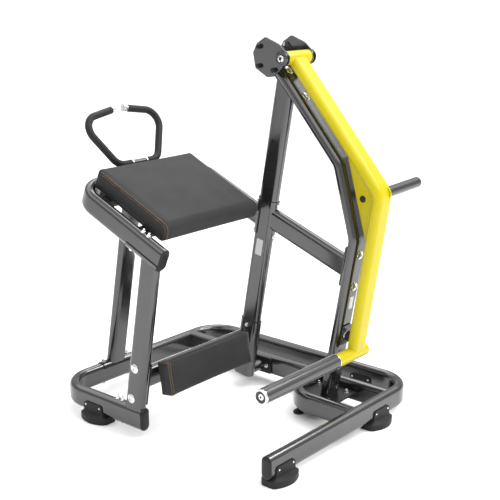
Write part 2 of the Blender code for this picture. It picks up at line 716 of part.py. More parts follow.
def pad_rail():
    """U-shaped pad rail, from the central post round to its capped near leg."""
    path = (post_point(rail_crossing()), rail_point(RAIL_BACK_X, CENTRE_Y),
            rail_point(RAIL_BACK_X), rail_point(RAIL_FRONT_X))
    rail = piece("pad_rail", oval_tube(path, RAIL_UP, RAIL_BEND), FRAME_GREY, frame)
    run = (post_point(SOCKET_TOP_Z), post_point(bent_post_crossing()))
    saddles = helper("post_saddles", oval_solid(run, POST_ACROSS, SADDLE_THICK + 2 * GAP), frame)
    combine(rail, "DIFFERENCE", saddles)
    half = RAIL_SADDLE_LENGTH / 2 * cos(POST_LEAN)
    start, end = (post_point(z, along=-END_CIRCLE) for z in
                  (RAIL_SADDLE_Z - half, RAIL_SADDLE_Z + half))
    piece("saddle_pad_rail", saddle(start, end, -POST_ACROSS), FRAME_GREY, frame)

    half = BRACE_SADDLE_LENGTH / 2 * cos(POST_LEAN)
    start, end = (post_point(z, along=END_CIRCLE) for z in
                  (BRACE_SADDLE_Z - half, BRACE_SADDLE_Z + half))
    piece("saddle_brace", saddle(start, end, POST_ACROSS), FRAME_GREY, frame)
    slope = Vector((cos(BRACE_SLOPE), 0, -sin(BRACE_SLOPE)))
    anchor = Vector((BRACE_ANCHOR[0], CENTRE_Y, BRACE_ANCHOR[1]))
    across = Vector((sin(BRACE_SLOPE), 0, cos(BRACE_SLOPE)))
    reach = (BENT_POST_KNEE[0] - BRACE_ANCHOR[0]) / cos(BRACE_SLOPE)
    path = (anchor - slope * HALF_DEEP, anchor + slope * reach)
    brace = piece("brace_tube", oval_tube(path, across), FRAME_GREY, frame)
    centre = lower_post(BRACE_FLANGE_Z, -HALF_WIDE - GAP - FLANGE_THICK / 2)
    size = (FLANGE_THICK, BRACE_FLANGE_WIDE, BRACE_SADDLE_LENGTH)
    piece("brace_flange", block(size, centre, POST_LEAN), DARK_STEEL, frame)
    face = lower_post(BRACE_FLANGE_Z, -HALF_WIDE - FLANGE_THICK - 2 * GAP)
    front = helper("brace_front", half_space(face, POST_ACROSS), frame)
    combine(brace, "DIFFERENCE", saddles, front)


def bent_post():
    """Bent post, from the base plate up to the cross tube of its head bracket."""
    top = on_post_top(-HEAD_TUBE_ALONG)
    mid = Vector((BENT_POST_MID[0], CENTRE_Y, BENT_POST_MID[1]))
    knee = Vector((BENT_POST_KNEE[0], CENTRE_Y, BENT_POST_KNEE[1]))
    path = (lower_post(BASE_PLATE_Z - HALF_WIDE), knee, mid, top)
    post = piece("bent_post", oval_tube(path, Y_AXIS, LEVER_BEND), FRAME_GREY, frame)
    foot = lower_post(BASE_PLATE_Z + GAP)
    below = helper("below_bent_post", half_space(foot, -Z_AXIS), frame)
    half = Y_AXIS * (PLATE_OFFSET - GAP)
    head_edge = helper("head_tube_edge", rod(top - half, top + half, HEAD_TUBE_RADIUS + GAP), frame)
    combine(post, "DIFFERENCE", below, head_edge)

    plates = []
    outline = rounded(HEAD_PLATE, (HEAD_PLATE_RADIUS,) * len(HEAD_PLATE), 3)
    for label, side in (("near", -1), ("far", 1)):
        start = on_post_top(0) + Y_AXIS * side * (PLATE_OFFSET - GAP - HEAD_PLATE_THICK)
        plate = prism(outline, start, UPPER_DOWN, UPPER_UP, Y_AXIS * side * HEAD_PLATE_THICK)
        plates.append((label, plate))
    bracket = piece("head_bracket", plates[0][1], DARK_STEEL, frame)
    far = helper("head_plate_far", plates[1][1], frame)
    inner = half - Y_AXIS * HEAD_PLATE_THICK / 4
    past = half + Y_AXIS * HEAD_PLATE_THICK
    bar = helper("head_tube", rod(top - inner, top + inner, HEAD_TUBE_RADIUS), frame)
    bore = helper("head_tube_bore", rod(top - past, top + past,
                                        HEAD_TUBE_RADIUS - HEAD_TUBE_WALL), frame)
    combine(bracket, "UNION", bar, far)
    combine(bracket, "DIFFERENCE", bore)


def pivot_head():
    """Outer pivot plates and the shaft that the lever turns on."""
    outline = rounded(PIVOT_PLATE, PIVOT_PLATE_RADII, 4)
    past = Y_AXIS * (PLATE_OFFSET + 2 * HEAD_PLATE_THICK)
    shaft_hole = helper("shaft_hole", rod(PIVOT - past, PIVOT + past, SHAFT_RADIUS + GAP), frame)
    for label, side in (("near", -1), ("far", 1)):
        start = PIVOT + Y_AXIS * side * PLATE_OFFSET
        bm = prism(outline, start, X_AXIS, Z_AXIS, Y_AXIS * side * HEAD_PLATE_THICK)
        plate = piece("pivot_plate_" + label, bm, FRAME_GREY, frame)
        combine(plate, "DIFFERENCE", shaft_hole)
    disc = PLATE_OFFSET + HEAD_PLATE_THICK + GAP
    end = disc + PIVOT_CAP_THICK
    half = (
        (SHAFT_RADIUS, disc), (PIVOT_CAP_RADIUS, disc), (PIVOT_CAP_RADIUS, end - PIVOT_CAP_EDGE),
        (PIVOT_CAP_RADIUS - PIVOT_CAP_EDGE, end), (SHAFT_HEAD_RADIUS, end),
        (SHAFT_HEAD_RADIUS, end + SHAFT_HEAD_THICK),
    )
    profile = [(radius, -height) for radius, height in reversed(half)] + list(half)
    piece("pivot_shaft", lathe(PIVOT, Y_AXIS, profile, 24), STEEL, frame)


def lever_arm():
    """Yellow lever: pivot tube, bent arm, gusset, foot bar and weight peg."""
    half = Y_AXIS * PIVOT_TUBE_LENGTH / 2
    bore = PIVOT_TUBE_RADIUS - PIVOT_TUBE_WALL
    tube = rod(PIVOT - half, PIVOT + half, PIVOT_TUBE_RADIUS, bore, 24)
    piece("arm_pivot_tube", tube, LEVER_YELLOW, arm)
    past = Y_AXIS * (PLATE_OFFSET + HEAD_PLATE_THICK)
    hole = helper("bearing_hole", rod(PIVOT - past, PIVOT + past, SHAFT_RADIUS + GAP), arm)
    for label, side in (("near", -1), ("far", 1)):
        inner = PIVOT_TUBE_LENGTH / 2 - BEARING_LENGTH
        outer = PIVOT_TUBE_LENGTH / 2 + GAP
        profile = ((bore - GAP, inner), (bore - GAP, outer), (bore + BEARING_LIP, outer),
                   (bore + BEARING_LIP, PLATE_OFFSET - GAP))
        bearing = piece("pivot_bearing_" + label, lathe(PIVOT, Y_AXIS * side, profile, 24),
                        STEEL, arm)
        combine(bearing, "DIFFERENCE", hole)

    knee = Vector((ARM_KNEE[0], CENTRE_Y, ARM_KNEE[1]))
    foot = Vector((ARM_FOOT_X, CENTRE_Y, ARM_FOOT_Z))
    path = (PIVOT, knee, foot)
    lever = piece("kick_arm", oval_tube(path, Y_AXIS, LEVER_BEND), LEVER_YELLOW, arm)
    side = Y_AXIS * TUBE_DEEP
    top_edge = helper("pivot_tube_edge", rod(PIVOT - side, PIVOT + side,
                                             PIVOT_TUBE_RADIUS + GAP, None, 24), arm)
    low_edge = helper("foot_tube_edge", rod(foot - side, foot + side,
                                            FOOT_TUBE_RADIUS + GAP, None, 24), arm)
    combine(lever, "DIFFERENCE", top_edge, low_edge)
    lever_edge = helper("lever_edge", oval_solid(path, Y_AXIS, GAP, LEVER_BEND), arm)

    up = (PIVOT - knee).normalized()
    down = (foot - knee).normalized()
    up_inward = Vector((-sin(UPPER_SLOPE), 0, -cos(UPPER_SLOPE))) * GUSSET_REACH
    down_inward = Vector((down.z, 0, -down.x)) * GUSSET_REACH
    corners = (knee + up * GUSSET_UPPER + up_inward, knee + up * GUSSET_UPPER, knee,
               knee + down * GUSSET_LOWER, knee + down * GUSSET_LOWER + down_inward)
    outline = [(point.x, point.z) for point in corners]
    start = (0, CENTRE_Y - GUSSET_THICK / 2, 0)
    gusset = piece("arm_gusset", prism(outline, start, X_AXIS, Z_AXIS, Y_AXIS * GUSSET_THICK),
                   LEVER_YELLOW, arm)
    combine(gusset, "DIFFERENCE", lever_edge)

    length = FOOT_TUBE_FAR_Y - ROLLER_INNER_Y
    tip = ROLLER_INNER_Y - ROLLER_OUTER_Y - ROLLER_CAP_THICK - GAP
    profile = ((FOOT_TUBE_RADIUS, -length), (FOOT_TUBE_RADIUS, 0), (AXLE_RADIUS, 0),
               (AXLE_RADIUS, tip))
    place = Vector((ARM_FOOT_X, ROLLER_INNER_Y, ARM_FOOT_Z))
    bar = piece("arm_foot_bar", lathe(place, -Y_AXIS, profile, 24), LEVER_YELLOW, arm)
    hollow = rod(place + Y_AXIS * AXLE_SHOULDER, place + Y_AXIS * (length + FOOT_TUBE_RADIUS),
                 FOOT_TUBE_RADIUS - FOOT_TUBE_WALL, None, 24)
    combine(bar, "DIFFERENCE", helper("foot_tube_bore", hollow, arm))

    turn = up.angle(-down)
    bulge = LEVER_BEND * (1 / cos(turn / 2) - 1)
    place = knee + (up + down).normalized() * bulge + Y_AXIS * HALF_WIDE
    heading = Vector((0, cos(PEG_TILT), sin(PEG_TILT)))
    profile = [(PEG_RADIUS, 0)]
    for turn in (0, radians(40), radians(80)):
        profile.append((PEG_RADIUS - PEG_NOSE * (1 - cos(turn)),
                        PEG_LENGTH - PEG_NOSE + PEG_NOSE * sin(turn)))
    peg = piece("weight_peg", lathe(place, heading, profile), DARK_STEEL, arm)
    inside = rod(place - heading * PEG_WALL, place + heading * (PEG_LENGTH - 3 * PEG_WALL),
                 PEG_RADIUS - PEG_WALL)
    combine(peg, "DIFFERENCE", lever_edge, helper("peg_bore", inside, arm))


def foot_roller():
    """Rubber sleeve that turns on the foot bar, between a ring and an end cap."""
    bore = AXLE_RADIUS + ROLLER_RUNNING_GAP
    side = circle(ROLLER_RADIUS, 24)

    def turned(name, near, far, radius, material, parent):
        """Ring about the axle."""
        start = Vector((ARM_FOOT_X, near, ARM_FOOT_Z))
        end = Vector((ARM_FOOT_X, far, ARM_FOOT_Z))
        piece(name, rod(start, end, radius, bore, 24), material, parent)

    ring = ROLLER_INNER_Y - GAP
    turned("roller_ring", ring - RING_THICK, ring, ROLLER_RADIUS + RING_PROUD, CHROME,
           arm)
    turned("roller_sleeve", ROLLER_OUTER_Y + ROLLER_CAP_THICK + 2 * GAP, ring - RING_THICK - GAP,
           ROLLER_RADIUS, ROLLER_GREY, roller)
    place = (ARM_FOOT_X, ROLLER_OUTER_Y + ROLLER_CAP_THICK, ARM_FOOT_Z)
    profile = ((ROLLER_CAP_RADIUS, 0), (ROLLER_CAP_RADIUS, ROLLER_CAP_THICK - ROLLER_CAP_EDGE),
               (ROLLER_CAP_RADIUS - ROLLER_CAP_EDGE, ROLLER_CAP_THICK))
    piece("roller_cap", lathe(place, -Y_AXIS, profile, 24), CHROME, arm)


def arm_stop():
    """Rubber bumper on the bent post, which the lever rests on."""
    face = lower_post(STOP_Z, HALF_WIDE + GAP)
    size = (STOP_SEAT, STOP_PLATE_WIDE, STOP_PLATE_HIGH)
    piece("stop_plate", block(size, face + POST_ACROSS * STOP_SEAT / 2, POST_LEAN), DARK_STEEL, frame)
    start = face + POST_ACROSS * (STOP_SEAT + GAP)
    foot = Vector((ARM_FOOT_X, CENTRE_Y, ARM_FOOT_Z))
    knee = Vector((ARM_KNEE[0], CENTRE_Y, ARM_KNEE[1]))
    run = (knee - foot).normalized()
    normal = Vector((run.z, 0, -run.x))
    distance = (foot - start).dot(normal) / POST_ACROSS.dot(normal)
    length = distance - (HALF_WIDE + GAP) / POST_ACROSS.dot(normal)
    length -= STOP_RADIUS * tan(POST_ACROSS.angle(normal))
    profile = ((STOP_RADIUS, 0), (STOP_RADIUS, length - STOP_EDGE), (STOP_RADIUS - STOP_EDGE, length))
    piece("stop_bumper", lathe(start, POST_ACROSS, profile, 24), BLACK_RUBBER, frame)


def cushion(centre, along, up, size, nose=0, corner=0):
    """Padded block: crowned towards up, its sides drawn in, its nose and back corners rounded."""
    half = Vector(size) / 2
    bm = bmesh.new()
    bmesh.ops.create_cube(bm, size=2)
    bmesh.ops.subdivide_edges(bm, edges=bm.edges, cuts=PAD_CUTS, use_grid_fill=True)
    for vert in bm.verts:
        spot = Vector([sin(pi / 2 * value) * extent for value, extent in zip(vert.co, half)])
        core = Vector([max(min(value, extent - PAD_EDGE), PAD_EDGE - extent)
                       for value, extent in zip(spot, half)])
        over = spot - core
        if over.length > 0:
            over *= max(abs(value) for value in over) / over.length
        u, y, v = core + over
        into_u, into_y = corner - half[0] - u, corner - half[1] + abs(y)
        if min(into_u, into_y) > 0:
            pull = 1 - max(into_u, into_y) / sqrt(into_u ** 2 + into_y ** 2)
            u += into_u * pull
            y *= 1 - into_y * pull / abs(y)
        into_nose = u - half[0] + nose
        if nose and into_nose > 0:
            v *= (half[2] - nose + sqrt(max(nose ** 2 - into_nose ** 2, 0))) / half[2]
        rise_u = 1 - (u / half[0]) ** 2
        rise_y = 1 - (y / half[1]) ** 2
        if v > 0:
            v += PAD_CROWN * rise_u * rise_y * v / half[2]
        u *= 1 - PAD_DRAW * rise_y / half[0]
        y *= 1 - PAD_DRAW * rise_u / half[1]
        vert.co = centre + along * u + Y_AXIS * y + up * v
    return bm


def chest_pad():
    """Chest pad with its board, on two members between the legs of the pad rail."""
    centre = Vector((PAD_CENTRE[0], USER_Y, PAD_CENTRE[1]))
    along = Vector((cos(PAD_TILT), 0, -sin(PAD_TILT)))
    up = Vector((sin(PAD_TILT), 0, cos(PAD_TILT)))
    bm = cushion(centre, along, up, (PAD_LENGTH, PAD_WIDE, PAD_THICK), PAD_NOSE, PAD_CORNER)
    pad = piece("chest_pad", bm, VINYL, frame)
    place = centre - up * (PAD_THICK / 2 - BOARD_THICK / 2)
    size = (PAD_LENGTH - 2 * BOARD_MARGIN - PAD_NOSE, PAD_WIDE - 2 * BOARD_MARGIN, BOARD_THICK)
    place -= along * PAD_NOSE / 2
    piece("chest_board", block(size, place, PAD_TILT), PLYWOOD, frame)
    recess = [extent + 2 * GAP for extent in size]
    recess[2] += BOARD_THICK
    cut = helper("board_recess", block(recess, place - up * BOARD_THICK / 2, PAD_TILT), frame)
    combine(pad, "DIFFERENCE", cut)

    rail_edge = rail_cutter("member_ends")
    wide = MEMBER_WIDE / 2
    thick = MEMBER_THICK / 2
    outer = ((thick, wide), (-thick, wide), (-thick, -wide), (thick, -wide))
    inner = [(u * (1 - MEMBER_WALL / thick), v * (1 - MEMBER_WALL / wide)) for u, v in outer]
    half = PAD_LENGTH / 2
    for label, position in (("back", BACK_MEMBER_INSET - half), ("front", half - FRONT_MEMBER_INSET)):
        middle = centre + along * position - up * (PAD_THICK / 2 + GAP + thick)
        path = (Vector((middle.x, 0, middle.z)), Vector((middle.x, CENTRE_Y, middle.z)))
        member = piece("pad_member_" + label, swept(path, up, outer, inner), DARK_STEEL, frame)
        combine(member, "DIFFERENCE", rail_edge)


def shin_pad():
    """Shin pad, tilted back at its top, and the channel that holds it off the crossbar."""
    up = Vector((-sin(SHIN_TILT), 0, cos(SHIN_TILT)))
    out = Vector((cos(SHIN_TILT), 0, sin(SHIN_TILT)))
    centre = Vector((SHIN_CENTRE[0], SHIN_PAD_Y, SHIN_CENTRE[1]))
    bm = cushion(centre, -up, out, (SHIN_HIGH, SHIN_LENGTH, SHIN_THICK))
    piece("shin_pad", bm, VINYL, frame)

    half = SHIN_BRACKET_WIDE / 2
    wall = SHIN_BRACKET_WALL
    back = -SHIN_THICK / 2 - GAP
    bar = post_point(CROSSBAR_Z)
    near = (bar - centre).dot(out) + wall
    outline = ((near, half), (back, half), (back, -half), (near, -half), (near, wall - half),
               (back - wall, wall - half), (back - wall, half - wall), (near, half - wall))
    start = centre - up * SHIN_BRACKET_HIGH / 2
    bm = prism(outline, start, out, Y_AXIS, up * SHIN_BRACKET_HIGH)
    bracket = piece("shin_bracket", bm, DARK_STEEL, frame)
    run = (Vector((bar.x, 0, bar.z)), bar)
    seat = helper("shin_bracket_seat", oval_solid(run, POST_UP, GAP), frame)
    combine(bracket, "DIFFERENCE", seat)


def handles():
    """One bent bar with both handles, their sleeves and the mount on the pad rail."""
    lean = Vector((-sin(HANDLE_LEAN), 0, cos(HANDLE_LEAN)))
    normal = Vector((cos(HANDLE_LEAN), 0, sin(HANDLE_LEAN)))
    foot = Vector((HANDLE_FOOT[0], USER_Y, HANDLE_FOOT[1]))

    def at(side, distance, height):
        """Point of one handle."""
        return foot + Y_AXIS * side * distance + lean * height

    near = [at(-1, *corner) for corner in HANDLE_CORNERS]
    far = [at(1, *corner) for corner in HANDLE_CORNERS]
    outer = circle(HANDLE_TUBE_RADIUS)
    inner = circle(HANDLE_TUBE_RADIUS - HANDLE_TUBE_WALL)
    bar = swept(near[::-1] + far, normal, outer, inner, HANDLE_BEND)
    piece("handle_bar", bar, DARK_STEEL, frame)
    sleeve = circle(GRIP_RADIUS)
    bore = circle(HANDLE_TUBE_RADIUS + GAP)
    for label, side, corners in (("near", -1, near), ("far", 1, far)):
        start = at(side, GRIP_START, 0)
        end = corners[2] + (corners[1] - corners[2]).normalized() * GRIP_SHORT
        path = [start, corners[0], corners[1], end]
        piece("grip_" + label, swept(path, normal, sleeve, bore, HANDLE_BEND), BLACK_RUBBER, frame)
        out = (corners[2] - corners[1]).normalized()
        plug = HANDLE_TUBE_RADIUS - HANDLE_TUBE_WALL - GAP
        profile = ((plug, -HANDLE_PLUG), (plug, GAP), (HANDLE_CAP_RADIUS, GAP),
                   (HANDLE_CAP_RADIUS, HANDLE_CAP_THICK - HANDLE_CAP_EDGE),
                   (HANDLE_CAP_RADIUS - HANDLE_CAP_EDGE, HANDLE_CAP_THICK))
        piece("handle_cap_" + label, lathe(corners[2], out, profile), CHROME, frame)

    low = rail_point(RAIL_BACK_X, USER_Y, END_CIRCLE)
    rise = foot - low
    size = (MOUNT_THICK, MOUNT_WIDE, rise.length)
    stand = block(size, (foot + low) / 2, atan2(rise.x, rise.z))
    mount = piece("handle_mount", stand, DARK_STEEL, frame)
    side = Y_AXIS * MOUNT_WIDE
    bar_edge = helper("handle_bar_edge", rod(foot - side, foot + side, HANDLE_TUBE_RADIUS + GAP), frame)
    rail_edge = rail_cutter("mount_seat")
    combine(mount, "DIFFERENCE", bar_edge, rail_edge)


def centre_machine():
    """Put the origin on the floor under the middle of the machine."""
    bpy.context.view_layer.update()
    graph = bpy.context.evaluated_depsgraph_get()
    corners = []
    for item in bpy.data.objects:
        if item.type == "MESH" and not item.hide_render:
            shape = item.evaluated_get(graph)
            corners += [shape.matrix_world @ Vector(corner) for corner in shape.bound_box]
    middle = [(min(corner[i] for corner in corners) + max(corner[i] for corner in corners)) / 2
              for i in range(2)]
    frame.location = (-middle[0], -middle[1], -min(corner.z for corner in corners))


base_frame()
end_caps()
feet()
left_posts()
central_post()
pad_rail()
bent_post()
pivot_head()
lever_arm()
foot_roller()
arm_stop()
chest_pad()
shin_pad()
handles()
centre_machine()
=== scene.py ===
"""Glute kickback machine: the dressed model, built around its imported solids.

The file is laid out as an add-on and run as a script. Places are worked out in plan
coordinates, with x = 0 and y = 0 on the middle lines of the base's left and near runs,
and moved into the frame's own coordinates as each piece is finished.
"""
import json
from math import cos, pi, radians, sin, tan

import bmesh
import bpy
from bpy.props import FloatProperty, FloatVectorProperty, PointerProperty
from mathutils import Matrix, Vector
from mathutils.bvhtree import BVHTree


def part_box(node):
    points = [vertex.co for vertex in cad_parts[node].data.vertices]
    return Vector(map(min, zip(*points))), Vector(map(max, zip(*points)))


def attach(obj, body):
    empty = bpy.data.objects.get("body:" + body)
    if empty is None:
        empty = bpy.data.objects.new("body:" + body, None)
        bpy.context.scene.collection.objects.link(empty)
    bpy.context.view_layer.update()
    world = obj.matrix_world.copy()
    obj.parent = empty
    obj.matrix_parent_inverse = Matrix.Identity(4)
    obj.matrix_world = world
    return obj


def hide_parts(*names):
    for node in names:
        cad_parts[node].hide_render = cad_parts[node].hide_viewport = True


bl_info = {
    "name": "Glute Kickback Machine",
    "version": (1, 0, 0),
    "blender": (4, 5, 0),
    "location": "View3D > Sidebar > Kickback",
    "description": "Builds a plate-loaded kickback machine around its packed solids",
    "category": "Object",
}

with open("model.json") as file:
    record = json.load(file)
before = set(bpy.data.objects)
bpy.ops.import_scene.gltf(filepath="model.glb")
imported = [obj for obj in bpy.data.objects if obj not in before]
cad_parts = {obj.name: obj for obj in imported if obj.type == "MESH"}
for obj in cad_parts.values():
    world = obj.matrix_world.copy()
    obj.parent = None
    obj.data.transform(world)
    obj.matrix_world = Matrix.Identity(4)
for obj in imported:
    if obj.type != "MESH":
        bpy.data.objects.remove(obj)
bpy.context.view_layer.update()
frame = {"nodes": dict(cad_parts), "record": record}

X_AXIS = Vector((1, 0, 0))
Y_AXIS = Vector((0, 1, 0))
Z_AXIS = Vector((0, 0, 1))

# Flat-oval tube
DEEP = 0.100
WIDE = 0.050
HALF_DEEP = DEEP / 2
HALF_WIDE = WIDE / 2
END_CENTRE = HALF_DEEP - HALF_WIDE
BASE_BEND = 0.145
ROUND_STEPS = 14
BEND_STEPS = 18

# Base
FOOT_HEIGHT = 0.035
BASE_Z = FOOT_HEIGHT + HALF_DEEP
BASE_X = 1.230
BASE_Y = 1.052
LEFT_RUN_END = 0.547
INNER_RAIL_Y = 0.861
LOOP_FRONT_Y = 0.599
LOOP_LEFT_X = 0.850
PLATE_TOP_Z = 0.092

# Feet: the screws' place along a foot and above the floor
SCREW_ALONG = 0.0445
SCREW_Z = 0.071

# Posts
LEAN = radians(10)
POST_FOOT_X = 0.472
CENTRE_Y = 0.730
USER_Y = 0.330
UPPER_SLOPE = radians(49)
POST_ARM_SPACING = 0.0885
PIVOT = Vector((0.7826, CENTRE_Y, 1.594))
POST_MID = Vector((1.040, CENTRE_Y, 1.163))
POST_KNEE = Vector((1.129, CENTRE_Y, 0.843))
POST_BEND = 0.085
RAIL_TILT = radians(23)
RAIL_ANCHOR = (0.500, 0.902)
RAIL_FRONT_X = 0.684
RAIL_BACK_X = 0.178
RAIL_BEND = 0.110
BRACE_SLOPE = radians(20)
BRACE_ANCHOR = Vector((0.674, CENTRE_Y, 0.858))

# Lever
ARM_KNEE = Vector((1.249, CENTRE_Y, 1.058))
ARM_FOOT = Vector((1.134, CENTRE_Y, 0.329))
GUSSET_WIDE = 0.047
PEG_TILT = radians(2)
STOP_Z = 0.405
BUMPER_RADIUS = 0.024

# Plates and caps
SADDLE_THICK = 0.0053
PLATE_THICK = 0.008
THIN_PLATE = 0.006
PLATE_EDGE = 0.0012
SOCKET = (0.066, 0.352)
SLEEVE_X = 0.487
SLEEVE_Z = 0.085
CROSSBAR_Z = 0.262
BRACE_FLANGE_Z = 0.714
CAP_DOME = 0.010
FLAP_HALF = 0.0313
FLAP_LENGTH = 0.118
FLAP_TOP = 0.085
HEAD_TUBE_ALONG = 0.092
HEAD_INNER = 0.0782
HEAD_OUTER = 0.0865
PIVOT_PLATE = (
    (0.038, 0.012), (-0.020, 0.060), (-0.096, 0.088), (-0.140, 0.060), (-0.163, 0.020),
    (-0.149, -0.047), (-0.083, -0.083), (-0.050, -0.079), (0.014, -0.028),
)
PIVOT_PLATE_RADII = (0.030, 0.030, 0.016, 0.012, 0.012, 0.010, 0.014, 0.012, 0.034)
HEAD_PLATE = (
    (-0.114, -0.016), (-0.126, 0.020), (-0.122, 0.0415), (0.020, 0.0415), (0.019, -0.002),
    (0.003, -0.020), (-0.062, -0.045), (-0.084, -0.032),
)
PIVOT_COVER = (
    (0, 0.080), (0.012, 0.080), (0.012, 0.0945), (0.0318, 0.0945), (0.0318, 0.0958), (0.0333, 0.0962),
    (0.0333, 0.1020), (0.0318, 0.1035), (0.0262, 0.1040), (0.0252, 0.1034), (0.0246, 0.1012),
    (0.0222, 0.1008), (0.0216, 0.1012), (0.0165, 0.1020), (0.016, 0.1030), (0, 0.1030),
)

# Faces that are welded or bolted together stand this far apart, as in the solids
GAP = 0.0003

# Heads of bolts start a little inside what they sit on
SUNK = -0.0005

# Pads
PAD_TILT = radians(24)
PAD_CENTRE = Vector((0.450, USER_Y, 1.007))
PAD_SIZE = (0.472, 0.578, 0.088)
PAD_CORNER = 0.024
PAD_NOSE = 0.0385
CROWN_POWER = 2.4
BOARD_GAP = 0.0005
FILL_FRAMES = 20
SHIN_TILT = radians(10)
SHIN_CENTRE = Vector((0.6186, 0.320, 0.2738))
SHIN_SIZE = (0.150, 0.534, 0.070)

# Handles
HANDLE_LEAN = radians(28)
HANDLE_FOOT = Vector((0.2066, USER_Y, 1.1266))
HANDLE_CORNERS = ((0.1197, 0.0), (0.2445, 0.223), (0.0445, 0.257))
HANDLE_BEND = 0.065
GRIP_RADIUS = 0.0165

# Studio
CAMERA = Vector((3.4983, -2.7650, 1.9342))
CAMERA_DOWN = radians(15.1761)
CAMERA_ROUND = radians(40.4064)
PALE = (0.96, 0.96, 0.96)

# Materials by name, filled by the first step
FINISH = {}

# The plan's own zero, found from the base tube's lowest corner
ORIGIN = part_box("base_tube_left")[0] + Vector((HALF_WIDE, HALF_WIDE, -FOOT_HEIGHT))


def sloping(angle):
    """Directions along and square to a line that drops towards +x by an angle."""
    return Vector((cos(angle), 0, -sin(angle))), Vector((sin(angle), 0, cos(angle)))


POST_ACROSS, POST_UP = sloping(LEAN)
RAIL_ALONG, RAIL_UP = sloping(RAIL_TILT)
UPPER_DOWN, UPPER_UP = sloping(UPPER_SLOPE)


class Value:
    """A shader socket that adds Math nodes when it is used in an expression."""

    def __init__(self, shader, socket):
        self.shader = shader
        self.socket = socket

    def math(self, operation, *terms):
        """Add one Math node and return its result."""
        node = self.shader.node("ShaderNodeMath", {"operation": operation}, dict(enumerate(terms)))
        return Value(self.shader, node.outputs[0])

    def __add__(self, other):
        return self.math("ADD", self, other)

    __radd__ = __add__

    def __sub__(self, other):
        return self.math("SUBTRACT", self, other)

    def __rsub__(self, other):
        return self.math("SUBTRACT", other, self)

    def __mul__(self, other):
        return self.math("MULTIPLY", self, other)

    __rmul__ = __mul__

    def between(self, low, high):
        """0 below low, 1 above high, and a smooth step between them."""
        settings = {"interpolation_type": "SMOOTHSTEP"}
        values = {"Value": self, "From Min": low, "From Max": high}
        node = self.shader.node("ShaderNodeMapRange", settings, values)
        return Value(self.shader, node.outputs["Result"])


class Shader:
    """A material and short ways to add nodes to it."""

    def __init__(self, name):
        self.material = bpy.data.materials.new(name)
        self.material.use_nodes = True
        self.tree = self.material.node_tree
        self.surface = self.tree.nodes["Principled BSDF"]
        self.place = self.node("ShaderNodeTexCoord", {}, {}).outputs["Object"]

    def node(self, kind, settings, values):
        """Add a node, set its settings, then its sockets' values or links."""
        node = self.tree.nodes.new(kind)
        for name, setting in settings.items():
            setattr(node, name, setting)
        for name, value in values.items():
            self.put(node.inputs[name], value)
        return node

    def put(self, socket, value):
        """Link a value to a socket, or set the socket to it."""
        if isinstance(value, Value):
            value = value.socket
        if isinstance(value, bpy.types.NodeSocket):
            self.tree.links.new(value, socket)
        elif isinstance(value, (tuple, list)) and len(value) == 3 and socket.type == "RGBA":
            socket.default_value = (*value, 1)
        else:
            socket.default_value = value

    def set(self, **values):
        """Set the surface's sockets, with underscores for the spaces in their names."""
        for name, value in values.items():
            self.put(self.surface.inputs[name.replace("_", " ")], value)
        return self

    def noise(self, scale, detail=3, roughness=0.5, squeeze=None):
        """Noise over the piece, about 0.5 on average, squeezed by a factor along each axis."""
        place = self.place
        if squeeze:
            values = {"Vector": place, "Scale": squeeze}
            place = self.node("ShaderNodeMapping", {}, values).outputs["Vector"]
        values = {"Vector": place, "Scale": scale, "Detail": detail, "Roughness": roughness}
        return Value(self, self.node("ShaderNodeTexNoise", {}, values).outputs["Fac"])

    def cells(self, scale, feature="F1"):
        """Distance to the nearest of scattered points, or to the border between them."""
        settings = {"feature": feature}
        values = {"Vector": self.place, "Scale": scale}
        return Value(self, self.node("ShaderNodeTexVoronoi", settings, values).outputs["Distance"])

    def mix(self, amount, low, high):
        """Blend two colours."""
        values = {0: amount, 6: low, 7: high}
        return self.node("ShaderNodeMix", {"data_type": "RGBA"}, values).outputs[2]

    def bump(self, height, distance, strength=1.0):
        """Turn a height into the surface's normal."""
        values = {"Height": height, "Distance": distance, "Strength": strength}
        node = self.node("ShaderNodeBump", {}, values)
        self.set(Normal=node.outputs["Normal"])
        return self


def tinted(colour, factor):
    """The colour, lighter or darker by a factor."""
    return tuple(min(part * factor, 1) for part in colour)


def powder_coat(name, colour, roughness, metallic, coat, gloss):
    """Smooth glossy powder coat: the faintest orange peel and drift of tone."""
    shader = Shader(name)
    drift = shader.noise(5, 3).between(0.3, 0.7)
    tone = shader.mix(drift, tinted(colour, 0.97), tinted(colour, 1.03))
    rub = shader.noise(28, 4, 0.6).between(0.5, 0.8)
    shader.set(Base_Color=tone, Metallic=metallic, Roughness=rub * 0.03 + roughness,
               Coat_Weight=coat, Coat_Roughness=0.03, Specular_IOR_Level=gloss)
    peel = shader.noise(170, 2)
    return shader.bump(peel, 0.00004, 0.12).material


def moulded(name, colour, roughness, grain, grain_depth):
    """Moulded plastic or rubber with a fine leathery grain."""
    shader = Shader(name)
    pebble = shader.cells(grain)
    drift = shader.noise(14, 4).between(0.3, 0.75)
    tone = shader.mix(drift, tinted(colour, 0.85), tinted(colour, 1.25))
    shader.set(Base_Color=tone, Roughness=drift * 0.08 + roughness, Specular_IOR_Level=0.25)
    return shader.bump(pebble, grain_depth, 0.5).material


def bright_metal(name, colour, roughness, smear):
    """Chrome or zinc with fine turning marks and light smears."""
    shader = Shader(name)
    marks = shader.noise(140, 4, 0.7)
    wide = shader.noise(22, 3).between(0.35, 0.7)
    shader.set(Base_Color=shader.mix(wide, tinted(colour, 0.93), colour), Metallic=1.0,
               Roughness=wide * smear + roughness)
    return shader.bump(marks, 0.00004, 0.25).material


